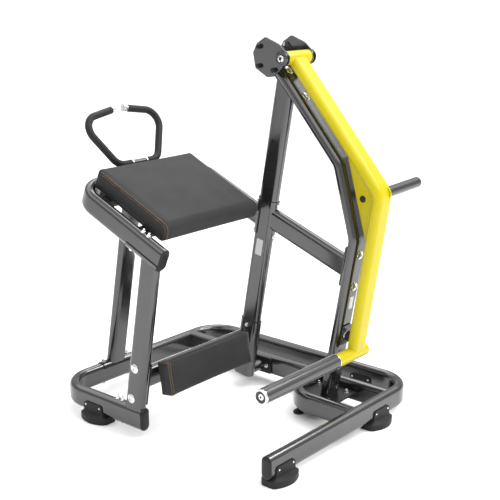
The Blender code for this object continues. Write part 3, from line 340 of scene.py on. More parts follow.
def vinyl_cover(name, colour):
    """Upholstery vinyl: fine pebbled grain, soft sheen and painted shade that darkens the creases
    between the pebbles.
    """
    shader = Shader(name)
    pebble = shader.cells(720, "DISTANCE_TO_EDGE").between(0.0, 0.12)
    fine = shader.noise(1500, 2)
    cloud = shader.noise(9, 4).between(0.3, 0.7)
    # painted shade: the creases between the grain's pebbles are darkened in the colour
    painted_crease_shade = (1 - pebble) * 0.3
    tone = shader.mix(cloud, tinted(colour, 0.95), tinted(colour, 1.06))
    tone = shader.mix(painted_crease_shade, tone, tinted(colour, 0.7))
    shader.set(Base_Color=tone, Roughness=0.62 - cloud * 0.04, Specular_IOR_Level=0.16,
               Sheen_Weight=0.03, Sheen_Roughness=0.4)
    return shader.bump(pebble * 0.8 + fine * 0.2, 0.00016, 0.4).material


def drawn_sleeve(name, colour):
    """Smooth rubber sleeve with streaks along its length: they roughen and raise its surface, and are
    painted into its colour as lighter and darker reflection streaks.
    """
    shader = Shader(name)
    streak_and_painted_reflection = shader.noise(1.5, 4, squeeze=(70, 0.9, 70)).between(0.35, 0.65)
    # painted reflection: the streaks also lighten and darken the colour along the sleeve
    tone = shader.mix(streak_and_painted_reflection, tinted(colour, 0.7), tinted(colour, 1.3))
    shader.set(Base_Color=tone, Roughness=streak_and_painted_reflection * 0.12 + 0.2)
    return shader.bump(streak_and_painted_reflection, 0.00012, 0.35).material


def plywood(name, colour):
    """Raw board with drawn-out grain."""
    shader = Shader(name)
    grain = shader.noise(3, 6, squeeze=(6, 60, 60)).between(0.3, 0.7)
    shader.set(Base_Color=shader.mix(grain, tinted(colour, 0.7), tinted(colour, 1.2)),
               Roughness=0.8 - grain * 0.1)
    return shader.bump(grain, 0.0003, 0.5).material


def thread(name, colour):
    """Waxed sewing thread."""
    shader = Shader(name)
    twist = shader.noise(900, 2)
    shader.set(Base_Color=shader.mix(twist, tinted(colour, 0.75), tinted(colour, 1.15)),
               Roughness=0.62)
    return shader.bump(twist, 0.0002, 0.4).material


def oval(deep, wide, steps=ROUND_STEPS):
    """Outline of a flat-oval section."""
    radius = wide / 2
    reach = deep / 2 - radius
    outline = []
    for side in (1, -1):
        for step in range(steps + 1):
            angle = pi * step / steps - pi / 2
            outline.append((side * (reach + radius * cos(angle)), side * radius * sin(angle)))
    return outline


def ring(radius, steps):
    """Outline of a round section."""
    return [(radius * cos(2 * pi * step / steps), radius * sin(2 * pi * step / steps))
            for step in range(steps)]


def rectangle(length, width, radius, steps=6):
    """Outline of a rectangle with rounded corners."""
    u, v = length / 2, width / 2
    return rounded(((u, v), (-u, v), (-u, -v), (u, -v)), radius, steps)


def rounded(corners, radius, steps=6):
    """Outline through the corners, each one rounded."""
    outline = []
    count = len(corners)
    for index, corner in enumerate(corners):
        here = Vector(corner)
        size = radius[index] if isinstance(radius, (tuple, list)) else radius
        to_last = (Vector(corners[index - 1]) - here).normalized()
        to_next = (Vector(corners[(index + 1) % count]) - here).normalized()
        half = to_last.angle(to_next) / 2
        centre = here + (to_last + to_next).normalized() * (size / sin(half))
        start = here + to_last * (size / tan(half)) - centre
        turn = start.angle_signed(here + to_next * (size / tan(half)) - centre)
        for step in range(steps + 1):
            arm = start.copy()
            arm.rotate(Matrix.Rotation(-turn * step / steps, 2))
            outline.append(tuple(centre + arm))
    return outline


def region(faces):
    """The faces with their edges, so that an extrusion leaves none behind inside."""
    return faces + list({edge for face in faces for edge in face.edges})


def extruded(bm, faces, offset):
    """Extrude the faces and return those at the new end."""
    made = bmesh.ops.extrude_face_region(bm, geom=region(faces))["geom"]
    verts = [item for item in made if isinstance(item, bmesh.types.BMVert)]
    bmesh.ops.translate(bm, verts=verts, vec=offset)
    return [item for item in made if isinstance(item, bmesh.types.BMFace)]


def face_on(bm, outline, centre, u_axis, v_axis):
    """Draw an outline as one face, on two axes about a centre."""
    verts = [bm.verts.new(centre + u_axis * u + v_axis * v) for u, v in outline]
    return bm.faces.new(verts)


def swept(corners, long_axis, outline, bend=0, inner=None):
    """Carry a section along straight runs with an arc at each corner between them."""
    bm = bmesh.new()
    heading = (corners[1] - corners[0]).normalized()
    across = long_axis.cross(heading)
    if inner is None:
        faces = [face_on(bm, outline, corners[0], long_axis, across)]
    else:
        rims = []
        for rim in (outline, inner):
            verts = [bm.verts.new(corners[0] + long_axis * u + across * v) for u, v in rim]
            rims += [bm.edges.new((verts[index - 1], verts[index])) for index in range(len(verts))]
        faces = bmesh.ops.bridge_loops(bm, edges=rims)["faces"]
    here = corners[0]
    for before, corner, after in zip(corners, corners[1:], corners[2:]):
        run_in = (corner - before).normalized()
        run_out = (after - corner).normalized()
        turn = run_in.angle(run_out)
        setback = bend * tan(turn / 2)
        bend_start = corner - run_in * setback
        axis = run_in.cross(run_out).normalized()
        centre = bend_start + axis.cross(run_in) * bend
        faces = extruded(bm, faces, bend_start - here)
        arc = bmesh.ops.spin(bm, geom=region(faces), cent=centre, axis=axis, angle=turn,
                             steps=max(3, round(BEND_STEPS * turn / (pi / 2))))
        faces = [item for item in arc["geom_last"] if isinstance(item, bmesh.types.BMFace)]
        here = corner + run_out * setback
    extruded(bm, faces, corners[-1] - here)
    return bm


def turned(origin, axis, profile, steps):
    """Turned piece: a profile of (radius, height) points spun about an axis."""
    axis = axis.normalized()
    side = axis.orthogonal().normalized()
    bm = bmesh.new()
    verts = [bm.verts.new(origin + side * radius + axis * height) for radius, height in profile]
    edges = [bm.edges.new(pair) for pair in zip(verts, verts[1:])]
    bmesh.ops.spin(bm, geom=verts + edges, cent=origin, axis=axis, angle=2 * pi, steps=steps,
                   use_merge=True)
    bmesh.ops.remove_doubles(bm, verts=bm.verts, dist=0.00001)
    return bm


def slab(outline, origin, u_axis, v_axis, offset, edge, segments=2):
    """Plate or block cut to an outline, with its edges eased."""
    bm = bmesh.new()
    face = face_on(bm, outline, origin, u_axis, v_axis)
    ends = [face] + extruded(bm, [face], offset)
    ease(bm, {rim for end in ends if end.is_valid for rim in end.edges}, edge, segments)
    return bm


def ease(bm, edges, width, segments=2):
    """Bevel some edges."""
    bmesh.ops.bevel(bm, geom=list(edges), offset=width, segments=segments, profile=0.5,
                    affect="EDGES", clamp_overlap=True, material=-1)


def mesh_of(name, bm):
    """Turn a bmesh into a mesh."""
    mesh = bpy.data.meshes.new(name)
    bm.to_mesh(mesh)
    bm.free()
    return mesh


def added(name, data):
    """Put an object with this data in the scene."""
    made = bpy.data.objects.new(name, data)
    bpy.context.scene.collection.objects.link(made)
    return made


def joined(first, *others):
    """Put several bmeshes into the first."""
    for other in others:
        mesh = mesh_of("part", other)
        first.from_mesh(mesh)
        bpy.data.meshes.remove(mesh)
    return first


def trimmed(bm, point, outward):
    """Cut off what lies beyond a plane and close the cut."""
    geom = bm.verts[:] + bm.edges[:] + bm.faces[:]
    cut = bmesh.ops.bisect_plane(bm, geom=geom, dist=0.00001, plane_co=point, plane_no=outward,
                                 clear_outer=True)["geom_cut"]
    rim = [item for item in cut if isinstance(item, bmesh.types.BMEdge)]
    bmesh.ops.holes_fill(bm, edges=rim, sides=0)
    return bm


def finished(name, bm, finish, *nodes, body="frame", slot=None, angle=32, recalculate=True):
    """Make a bmesh, drawn in plan coordinates, a piece in place of its CAD nodes."""
    bmesh.ops.translate(bm, verts=bm.verts, vec=ORIGIN)
    if recalculate:
        bmesh.ops.recalc_face_normals(bm, faces=bm.faces)
    mesh = mesh_of(name, bm)
    mesh.shade_smooth()
    mesh.set_sharp_from_angle(angle=radians(angle))
    mesh.materials.append(FINISH[finish])
    piece = added(name, mesh)
    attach(piece, body)
    if nodes:
        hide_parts(*nodes)
    piece.modifiers.new("flat_faces", "WEIGHTED_NORMAL").keep_sharp = True
    apply_modifiers(piece)


def post_point(z, y=CENTRE_Y, along=0):
    """Point on a leaning post's middle line, moved along its wide direction."""
    return Vector((POST_FOOT_X + z * tan(LEAN), y, z)) + POST_ACROSS * along


def rail_point(x, y=0, up=0):
    """Point on the pad rail's middle plane, moved up square to it."""
    z = RAIL_ANCHOR[1] - (x - RAIL_ANCHOR[0]) * tan(RAIL_TILT)
    return Vector((x, y, z)) + RAIL_UP * up


def on_upper_post(along, up=0):
    """Point on the bent post's upper run, along it from beside the pivot, and above it."""
    return PIVOT - UPPER_UP * POST_ARM_SPACING + UPPER_DOWN * along + UPPER_UP * up


def lower_post(z, along=0):
    """Point on the bent post's lower run, moved square to it."""
    x = POST_KNEE.x + (z - POST_KNEE.z) * tan(LEAN)
    return Vector((x, CENTRE_Y, z)) + POST_ACROSS * along


def plan(x, y, z):
    """A point in plan coordinates."""
    return Vector((x, y, z))


def turned_to(x_axis, y_axis, z_axis):
    """The turn that brings the three axes to these directions."""
    return Matrix((x_axis, y_axis, z_axis)).transposed().to_4x4()


def lathe(name, origin, axis, profile, steps, finish, *nodes, body="frame"):
    """A piece that is turned from one profile."""
    finished(name, turned(origin, axis, profile, steps), finish, *nodes, body=body)


def tube(name, corners, long_axis, *nodes, bend=0, finish="frame_grey", body="frame", cuts=()):
    """Flat-oval tube with soft bends."""
    bm = swept(corners, long_axis, oval(DEEP, WIDE), bend)
    for point, outward in cuts:
        trimmed(bm, point, outward)
    finished(name, bm, finish, *nodes, body=body)


def saddle(name, ends, towards, node):
    """Curved plate on the round edge of a tube, between two points of its edge's middle line."""
    start, end = ends
    run = end - start
    side = towards.normalized()
    turns = [pi * step / ROUND_STEPS - pi / 2 for step in range(ROUND_STEPS + 1)]
    outer = HALF_WIDE + SADDLE_THICK
    outline = [(HALF_WIDE * cos(turn), HALF_WIDE * sin(turn)) for turn in turns]
    outline += [(outer * cos(turn), outer * sin(turn)) for turn in turns[::-1]]
    bm = slab(outline, start, side, run.normalized().cross(side), run, PLATE_EDGE)
    finished(name, bm, "frame_grey", node)


def plate(name, centre, u_axis, v_axis, size, radius, finish, *nodes, edge):
    """Flat plate about its centre: size is its length, its width and its thickness."""
    outline = rectangle(size[0], size[1], radius)
    depth = u_axis.cross(v_axis).normalized() * size[2]
    bm = slab(outline, centre - depth / 2, u_axis, v_axis, depth, edge)
    finished(name, bm, finish, *nodes)


def rod(radius, start, end, edge=0.001):
    """Profile of a round bar from start to end along its axis, with eased rims."""
    part = edge * 0.3
    return [(0, start), (radius - edge, start), (radius - part, start + part), (radius, start + edge),
            (radius, end - edge), (radius - part, end - part), (radius - edge, end), (0, end)]


def foot_ring(length, wide, bow, corner):
    """Outline with straight ends, rounded corners and two long sides that bow outwards."""
    half = length / 2
    turns = [pi / 2 * step / 4 for step in range(5)]
    near = [(corner * (1 - cos(turn)) - half, corner * (1 - sin(turn))) for turn in turns]
    middle = [((half - corner) * step / 7, 0) for step in range(-6, 7)]
    side = near + middle + [(-u, drop) for u, drop in near[::-1]]
    side = [(u, wide + bow * (1 - (u / half) ** 2) - drop) for u, drop in side]
    return side + [(-u, -v) for u, v in side]


def stacked(rings):
    """Solid through rings of points, each one an extrusion of the last."""
    bm = bmesh.new()
    faces = [bm.faces.new([bm.verts.new(point) for point in rings[0]])]
    for points in rings[1:]:
        faces = extruded(bm, faces, Vector((0, 0, 0)))
        for vert, point in zip(faces[0].verts, points):
            vert.co = point
    return bm


def base(hardware):
    """Outer loop, inner rail, inner loop and the plate under the bent post."""
    for name, nodes, corners in (
            ("base_loop", ("base_tube_left", "base_tube_right"),
             ((LEFT_RUN_END, 0), (0, 0), (0, BASE_Y), (BASE_X, BASE_Y), (BASE_X, 0))),
            ("inner_rail", ("base_inner_rail",), ((0, INNER_RAIL_Y), (BASE_X, INNER_RAIL_Y))),
            ("inner_loop", ("base_inner_loop",),
             ((BASE_X, LOOP_FRONT_Y), (LOOP_LEFT_X, LOOP_FRONT_Y), (LOOP_LEFT_X, INNER_RAIL_Y)))):
        tube(name, [plan(x, y, BASE_Z) for x, y in corners], Z_AXIS, *nodes, bend=BASE_BEND)
    centre = plan(0.980, (LOOP_FRONT_Y + INNER_RAIL_Y) / 2, PLATE_TOP_Z - PLATE_THICK / 2)
    size = (0.200, INNER_RAIL_Y - LOOP_FRONT_Y - WIDE, PLATE_THICK)
    plate("post_base_plate", centre, X_AXIS, Y_AXIS, size, 0.003, "black_plastic", "base_plate",
          edge=hardware.plate_edge)


def foot_mesh(centre, along):
    """One moulded foot: a bowed block, a sloping ledge and a flap up each side of the tube."""
    across = Z_AXIS.cross(along)
    levels = [
        (0, 0.1590, -0.003, 0.0270, 0.010), (0.0030, 0.1645, 0, 0.0290, 0.011),
        (0.0276, 0.1645, 0, 0.0290, 0.011), (0.0291, 0.1636, 0, 0.0286, 0.011),
        (0.0299, 0.1610, -0.0003, 0.0276, 0.010), (0.0336, 0.1470, 0, 0.0165, 0.010),
        (0.0368, 0.1370, 0, 0.0065, 0.005), (0.0384, 0.1310, 0, 0.0008, 0.003),
        (0.0396, 0.1290, -0.0003, 0, 0.002), (0.0460, 0.1220, -0.0003, 0, 0.002),
        (0.0560, FLAP_LENGTH, -0.0003, 0, 0.002),
    ]
    for step in range(6):
        turn = pi / 2 * step / 5
        levels.append((FLAP_TOP - 0.015 * (1 - sin(turn)), FLAP_LENGTH - 0.030 * (1 - cos(turn)),
                       -0.0003 - 0.001 * (1 - cos(turn)), 0, 0.002))
    rings = []
    for height, length, inset, bow, corner in levels:
        rings.append([centre + along * u + across * v + Z_AXIS * height
                      for u, v in foot_ring(length, FLAP_HALF + inset, bow, corner)])
    return stacked(rings)


def feet():
    """Five moulded feet and the levelling foot under the inner loop."""
    screws = []
    for node, x, y, along in (
            ("foot_left", 0.244, 0, X_AXIS), ("foot_front", BASE_X, 0.085, Y_AXIS),
            ("foot_right", BASE_X, 0.767, Y_AXIS), ("foot_back_right", 0.968, BASE_Y, X_AXIS),
            ("foot_back_left", 0.244, BASE_Y, X_AXIS)):
        centre = plan(x, y, 0)
        finished("rubber_" + node, foot_mesh(centre, along), "black_rubber", node, angle=30)
        across = Z_AXIS.cross(along)
        for side in (1, -1):
            for end in (1, -1):
                seat = centre + along * end * SCREW_ALONG + across * side * FLAP_HALF + Z_AXIS * SCREW_Z
                screws.append(turned(seat, across * side, dome(0.0042, 0.0022), 16))
    finished("foot_screws", joined(*screws), "chrome")
    corner = BASE_BEND * (1 - cos(pi / 4))
    lathe("levelling_pad", plan(LOOP_LEFT_X + corner, LOOP_FRONT_Y + corner, 0), Z_AXIS, [
        (0, 0), (0.023, 0), (0.0255, 0.002), (0.026, 0.005), (0.0255, 0.009), (0.022, 0.0115),
        (0.0125, 0.0155), (0.011, 0.018), (0.008, 0.0185), (0.008, 0.0345), (0, 0.0345)], 40,
        "black_rubber", "levelling_foot")


def dome(radius, height):
    """Profile of a low round head."""
    return [(0, SUNK), (radius, SUNK), (radius, height * 0.3), (radius * 0.93, height * 0.6),
            (radius * 0.75, height * 0.85), (radius * 0.4, height), (0, height)]


def end_cap(name, centre, outward, long_axis, node):
    """Domed plastic cap over the open end of a tube."""
    across = long_axis.cross(outward)
    rings = []
    for step in range(9):
        turn = pi / 2 * step / 8
        inset = 0.0004 - 0.019 * (1 - cos(turn))
        outline = oval(DEEP + 2 * inset, WIDE + 2 * inset, 10)
        rings.append([centre + outward * CAP_DOME * sin(turn) + long_axis * u + across * v
                      for u, v in outline])
    finished(name, stacked(rings), "black_plastic", node, angle=60)


def end_caps():
    """Caps of the open tube ends."""
    end_cap("left_run_cap", plan(LEFT_RUN_END, 0, BASE_Z), X_AXIS, Z_AXIS, "cap_left_run")
    end_cap("front_bar_cap", plan(BASE_X, 0, BASE_Z), -Y_AXIS, Z_AXIS, "cap_front_bar")
    end_cap("rail_cap", rail_point(RAIL_FRONT_X), RAIL_ALONG, RAIL_UP, "cap_pad_rail")


def rail_crossing():
    """Height at which a leaning post's middle line meets the pad rail's."""
    over_foot = RAIL_ANCHOR[1] + (RAIL_ANCHOR[0] - POST_FOOT_X) * tan(RAIL_TILT)
    return over_foot / (1 + tan(LEAN) * tan(RAIL_TILT))


def bent_post_crossing():
    """Height at which the central post's middle line meets the bent post's."""
    beside = on_upper_post(0)
    drop = beside.x - POST_FOOT_X - beside.z * tan(LEAN)
    return beside.z + drop / (tan(LEAN) + 1 / tan(UPPER_SLOPE))


def posts():
    """The left posts, the central post, the bent post, the pad rail and the brace."""
    foot = plan(0, USER_Y, BASE_Z + END_CENTRE)
    tube("left_back_post", (foot, rail_point(RAIL_BACK_X, USER_Y, -END_CENTRE)), Y_AXIS,
         "post_back_left")
    under_rail = rail_point(RAIL_BACK_X, 0, -END_CENTRE - 0.001)
    tube("left_front_post", (post_point(BASE_Z + END_CENTRE + 0.001, 0), post_point(rail_crossing(), 0)),
         POST_ACROSS, "post_front_left", cuts=((under_rail, RAIL_UP),))
    tube("middle_post", (post_point(SOCKET[0] + 0.006), post_point(bent_post_crossing() + 0.09)),
         POST_ACROSS, "central_post", cuts=((on_upper_post(0, -HALF_WIDE - 0.0085), UPPER_UP),))
    rail = (post_point(rail_crossing()), rail_point(0.450, CENTRE_Y), rail_point(RAIL_BACK_X, CENTRE_Y),
            rail_point(RAIL_BACK_X), rail_point(RAIL_FRONT_X))
    behind_post = post_point(rail_crossing(), CENTRE_Y, -END_CENTRE - 0.001)
    end = trimmed(swept(rail[:2], RAIL_UP, oval(DEEP, WIDE)), behind_post, POST_ACROSS)
    bm = joined(swept(rail[1:], RAIL_UP, oval(DEEP, WIDE), RAIL_BEND), end)
    finished("chest_rail", bm, "frame_grey", "pad_rail")
    slope, across = sloping(BRACE_SLOPE)
    before_post = post_point(BRACE_ANCHOR.z, CENTRE_Y, END_CENTRE + 0.001)
    tube("brace", (BRACE_ANCHOR - slope * 0.045, BRACE_ANCHOR + slope * 0.48), across, "brace_tube",
         cuts=((lower_post(BRACE_FLANGE_Z, -HALF_WIDE - 0.0082), POST_ACROSS),
               (before_post, -POST_ACROSS)))
    bent = (lower_post(PLATE_TOP_Z - PLATE_THICK / 2), POST_KNEE, POST_MID,
            on_upper_post(-HEAD_TUBE_ALONG))
    tube("lever_post", bent, Y_AXIS, "bent_post", bend=POST_BEND)
    middle = post_point(CROSSBAR_Z)
    tube("shin_bar", (plan(middle.x, HALF_WIDE, middle.z), middle), POST_UP, "shin_crossbar")
    link = (plan(SLEEVE_X, CENTRE_Y, SLEEVE_Z), plan(SLEEVE_X, INNER_RAIL_Y - HALF_WIDE, SLEEVE_Z))
    tube("sleeve_link", link, X_AXIS, "socket_link")
    outer = oval(DEEP + 0.0106, WIDE + 0.0106)
    bore = oval(DEEP + 0.0004, WIDE + 0.0004)
    bm = swept([post_point(z) for z in SOCKET], POST_ACROSS, outer, inner=bore)
    ease(bm, right_angles(bm), PLATE_EDGE)
    finished("post_sleeve", bm, "frame_grey", "post_socket")


def right_angles(bm):
    """The edges where faces meet squarely."""
    return [edge for edge in bm.edges if abs(edge.calc_face_angle(0) - pi / 2) < 0.1]


def saddles(hardware):
    """Curved saddles and flat flanges between the tubes."""
    top = BASE_Z + END_CENTRE
    front_foot = [plan(x, 0, top) for x in (0.360, LEFT_RUN_END)]
    front_top = [rail_point(x, 0, -END_CENTRE) for x in (0.505, RAIL_FRONT_X)]
    back_foot = [plan(0, y, top) for y in (USER_Y - 0.090, USER_Y + 0.090)]
    half = 0.175 / 2 * cos(LEAN)
    rail_end = [post_point(z, CENTRE_Y, -END_CENTRE) for z in (0.869 - half, 0.869 + half)]
    half = 0.185 / 2 * cos(LEAN)
    brace_end = [post_point(z, CENTRE_Y, END_CENTRE) for z in (0.8595 - half, 0.8595 + half)]
    saddle("front_foot_saddle", front_foot, Z_AXIS, "saddle_front_foot")
    saddle("front_top_saddle", front_top, -RAIL_UP, "saddle_front_top")
    saddle("back_foot_saddle", back_foot, Z_AXIS, "saddle_back_foot")
    saddle("rail_saddle", rail_end, -POST_ACROSS, "saddle_pad_rail")
    saddle("brace_saddle", brace_end, POST_ACROSS, "saddle_brace")

    along = (post_point(bent_post_crossing()) - on_upper_post(0)).dot(UPPER_DOWN)
    out = HALF_WIDE + PLATE_THICK / 2 + GAP
    edge = hardware.plate_edge
    plate("upper_flange", on_upper_post(along, -out), UPPER_DOWN, Y_AXIS, (0.178, 0.070, PLATE_THICK),
          0.008, "frame_grey", "central_post_flange", edge=edge)
    plate("brace_end_flange", lower_post(BRACE_FLANGE_Z, -out), POST_UP, Y_AXIS,
          (0.185, 0.070, PLATE_THICK), 0.008, "frame_grey", "brace_flange", edge=edge)
    plate("sleeve_flange", plan(SLEEVE_X, INNER_RAIL_Y - out, SLEEVE_Z), X_AXIS, Z_AXIS,
          (0.170, 0.080, PLATE_THICK), 0.006, "black_plastic", "socket_flange", edge=edge)
    out = HALF_WIDE + THIN_PLATE / 2 + GAP
    plate("shin_bar_flange", post_point(0.248, out), POST_UP, POST_ACROSS,
          (0.204, 0.080, THIN_PLATE), 0.008, "frame_grey", "crossbar_flange", edge=edge)


def pivot_head(hardware):
    """Bracket on the bent post, outer plates, shaft covers, bearings, black cap nuts and black discs of
    painted shade round the covers and in the bolts' sockets.
    """
    edge = hardware.plate_edge
    outline = rounded(PIVOT_PLATE, PIVOT_PLATE_RADII)
    inner = rounded(HEAD_PLATE, 0.006)
    bracket = [turned(on_upper_post(-HEAD_TUBE_ALONG), Y_AXIS, rod(0.025, -0.0862, 0.0862, 0.002), 40)]
    caps, nuts, covers, bolts, painted_shade_discs = [], [], [], [], []
    for label, side in (("near", -1), ("far", 1)):
        out = Y_AXIS * side
        bm = slab(outline, PIVOT + out * HEAD_OUTER, X_AXIS, Z_AXIS, out * PLATE_THICK, edge)
        finished("head_plate_" + label, bm, "frame_grey", "pivot_plate_" + label)
        start = on_upper_post(0) + out * HEAD_INNER
        bracket.append(slab(inner, start, UPPER_DOWN, UPPER_UP, out * PLATE_THICK, edge))
        for x, z in ((-0.125, 0.047), (-0.125, -0.036), (-0.043, -0.050)):
            seat = PIVOT + plan(x, side * 0.0945, z)
            caps.append(turned(seat, out, cap_nut(0.0105, 0.018), 28))
            nuts.append(hexagon(PIVOT + plan(x, side * HEAD_INNER, z), -out, 0.0085, 0.006))
        lathe("bearing_ring_" + label, PIVOT, out, rod(0.033, 0.0810, HEAD_OUTER, 0.0008), 48,
              "frame_grey", "pivot_bearing_" + label, body="kick_lever")
        covers.append(turned(PIVOT, out, PIVOT_COVER, 64))
        bolts.append(turned(PIVOT, out, [
            (0, 0.1020), (0.0155, 0.1020), (0.0155, 0.1045), (0.0145, 0.1062), (0.0095, 0.1085),
            (0.0078, 0.1088), (0.0070, 0.1060), (0, 0.1055)], 40))
        # painted shade: a thin black disc just wider than each cover stands for the dark groove round
        # it, and a small one for the dark inside of the bolt's socket
        painted_shade_discs.append(turned(PIVOT, out, rod(0.0348, 0.0943, 0.0952, 0.0003), 64))
        painted_shade_discs.append(turned(PIVOT, out, rod(0.0072, 0.1050, 0.1062, 0.0003), 32))
    finished("head_bracket_plates", joined(*bracket), "dark_steel", "head_bracket")
    finished("head_cap_nuts", joined(*caps), "black_plastic")
    finished("head_nuts", joined(*nuts), "bright_steel")
    finished("pivot_covers", joined(*covers), "frame_grey", "pivot_shaft")
    finished("pivot_painted_shade", joined(*painted_shade_discs), "black_plastic", "pivot_shaft")
    finished("pivot_bolts", joined(*bolts), "chrome", "pivot_shaft")


def cap_nut(radius, height):
    """Profile of a tall rounded cover over a nut."""
    return [(0, SUNK), (radius, SUNK), (radius, height * 0.75), (radius * 0.9, height * 0.9),
            (radius * 0.6, height), (0, height)]


def hexagon(seat, axis, radius, height):
    """Hexagon head with its outer rim eased."""
    axis = axis.normalized()
    side = axis.orthogonal().normalized()
    bm = bmesh.new()
    face = face_on(bm, ring(radius, 6), seat, side, axis.cross(side))
    end = extruded(bm, [face], axis * height)
    ease(bm, {edge for item in end for edge in item.edges}, radius * 0.14)
    return bm


def hex_bolt(seat, axis, radius=0.0085, stud=0.006):
    """Washer, nut and the end of the bolt."""
    axis = axis.normalized()
    top = seat + axis * 0.002
    washer = turned(seat, axis, rod(radius * 1.4, -0.0003, 0.0022, 0.0006), 28)
    nut = hexagon(top, axis, radius, radius * 0.85)
    end = turned(top, axis, rod(radius * 0.55, 0, radius + stud, 0.001), 16)
    return joined(washer, nut, end)


def disc_bolt(seat, axis, radius):
    """Large low-domed bolt head with a round socket in its middle."""
    return turned(seat, axis, [
        (0, SUNK), (radius, SUNK), (radius, 0.0018), (radius * 0.97, 0.0030),
        (radius * 0.85, 0.0046), (radius * 0.6, 0.0064), (radius * 0.34, 0.0072),
        (radius * 0.30, 0.0066), (radius * 0.29, 0.0036), (0, 0.0032)], 56)


def fasteners(hardware):
    """Bolts, washers and nuts that hold the frame's tubes together."""
    up = BASE_Z + HALF_DEEP + SADDLE_THICK
    low = HALF_DEEP + SADDLE_THICK
    small = 0.0075
    discs = [disc_bolt(seat, axis, hardware.washer_radius * share) for seat, axis, share in (
        (plan(0.523, -HALF_WIDE, 0.322), -Y_AXIS, 1), (plan(0.496, -HALF_WIDE, 0.178), -Y_AXIS, 1),
        (on_upper_post(0.018, HALF_WIDE), UPPER_UP, 0.95),
        (on_upper_post(0.161, HALF_WIDE), UPPER_UP, 0.95),
        (lower_post(0.780, HALF_WIDE), POST_ACROSS, 0.9),
        (lower_post(0.633, HALF_WIDE), POST_ACROSS, 0.9))]
    finished("disc_bolts", joined(*discs), "polished_steel", slot="bright_steel")
    made = []
    for x, y in ((0.382, 0), (0.412, 0), (0, 0.250), (0, 0.405)):
        made.append(hex_bolt(plan(x, y, up), Z_AXIS))
        made.append(hex_bolt(plan(x, y, FOOT_HEIGHT), -Z_AXIS, small, 0))
    for x in (0.585, 0.554):
        made.append(hex_bolt(rail_point(x, 0, HALF_DEEP), RAIL_UP))
        made.append(hex_bolt(rail_point(x - 0.035, 0, -low), -RAIL_UP, small, 0.002))
    for z in (0.929, 0.786):
        made.append(hex_bolt(post_point(z, CENTRE_Y, -low), -POST_ACROSS, small))
        made.append(hex_bolt(post_point(z, CENTRE_Y, low), POST_ACROSS, small))
    for x in (0.889, 1.046):
        for y in (0.662, 0.798):
            made.append(hex_bolt(plan(x, y, PLATE_TOP_Z), Z_AXIS))
    for x in (0.429, 0.545):
        seat = plan(x, INNER_RAIL_Y - HALF_WIDE - PLATE_THICK - GAP, SLEEVE_Z)
        made.append(hex_bolt(seat, -Y_AXIS, small))
    seat = post_point(0.329, CENTRE_Y - HALF_WIDE - SADDLE_THICK)
    made.append(hex_bolt(seat, -Y_AXIS, small, 0.002))
    finished("frame_bolts", joined(*made), "chrome")


def lever(hardware):
    """The bent arm with its pivot tube, gusset, foot tube and weight peg."""
    tube("lever_arm", (PIVOT, ARM_KNEE, ARM_FOOT), Y_AXIS, "kick_arm", bend=POST_BEND,
         finish="lever_yellow", body="kick_lever")
    lathe("pivot_barrel", PIVOT, Y_AXIS, rod(0.030, -0.081, 0.081, 0.0015), 48, "lever_yellow",
          "arm_pivot_tube", body="kick_lever")
    up = (PIVOT - ARM_KNEE).normalized()
    down = (ARM_FOOT - ARM_KNEE).normalized()
    gusset_top = ARM_KNEE + up * 0.216
    gusset_end = ARM_KNEE + down * 0.219
    corners = (gusset_top - UPPER_UP * GUSSET_WIDE, gusset_top, ARM_KNEE, gusset_end,
               gusset_end + Vector((down.z, 0, -down.x)) * GUSSET_WIDE)
    outline = rounded([(point.x, point.z) for point in corners], (0.010, 0.004, 0.004, 0.004, 0.010))
    start = plan(0, CENTRE_Y - PLATE_THICK / 2, 0)
    gusset = slab(outline, start, X_AXIS, Z_AXIS, Y_AXIS * PLATE_THICK, hardware.plate_edge)
    finished("lever_gusset", gusset, "lever_yellow", "arm_gusset", body="kick_lever")
    lathe("foot_tube", plan(ARM_FOOT.x, 0.581, ARM_FOOT.z), Y_AXIS, [
        (0, -0.495), (0.0162, -0.495), (0.0162, 0), (0.0285, 0), (0.030, 0.0015), (0.030, 0.2145),
        (0.0285, 0.216), (0.027, 0.216), (0.0265, 0.212), (0, 0.212)], 48,
        "lever_yellow", "arm_foot_bar", body="kick_lever")
    bulge = POST_BEND * (1 / cos(up.angle(-down) / 2) - 1)
    seat = ARM_KNEE + (up + down).normalized() * bulge + Y_AXIS * HALF_WIDE
    heading = Vector((0, cos(PEG_TILT), sin(PEG_TILT)))
    lathe("plate_peg", seat, heading, [
        (0, -0.02), (0.024, -0.02), (0.024, 0.2515), (0.0232, 0.2565), (0.0205, 0.2602),
        (0.016, 0.2618), (0, 0.262)], 48, "dark_steel", "weight_peg", body="kick_lever")
    lathe("peg_weld", seat, heading, [
        (0, -0.004), (0.0335, -0.004), (0.0335, 0.002), (0.031, 0.005), (0.026, 0.0085),
        (0, 0.0085)], 48, "lever_yellow", body="kick_lever")
    lathe("gusset_plug", plan(1.152, CENTRE_Y - 0.0039, 1.023), -Y_AXIS, dome(0.0150, 0.0035), 32,
          "black_plastic", body="kick_lever")


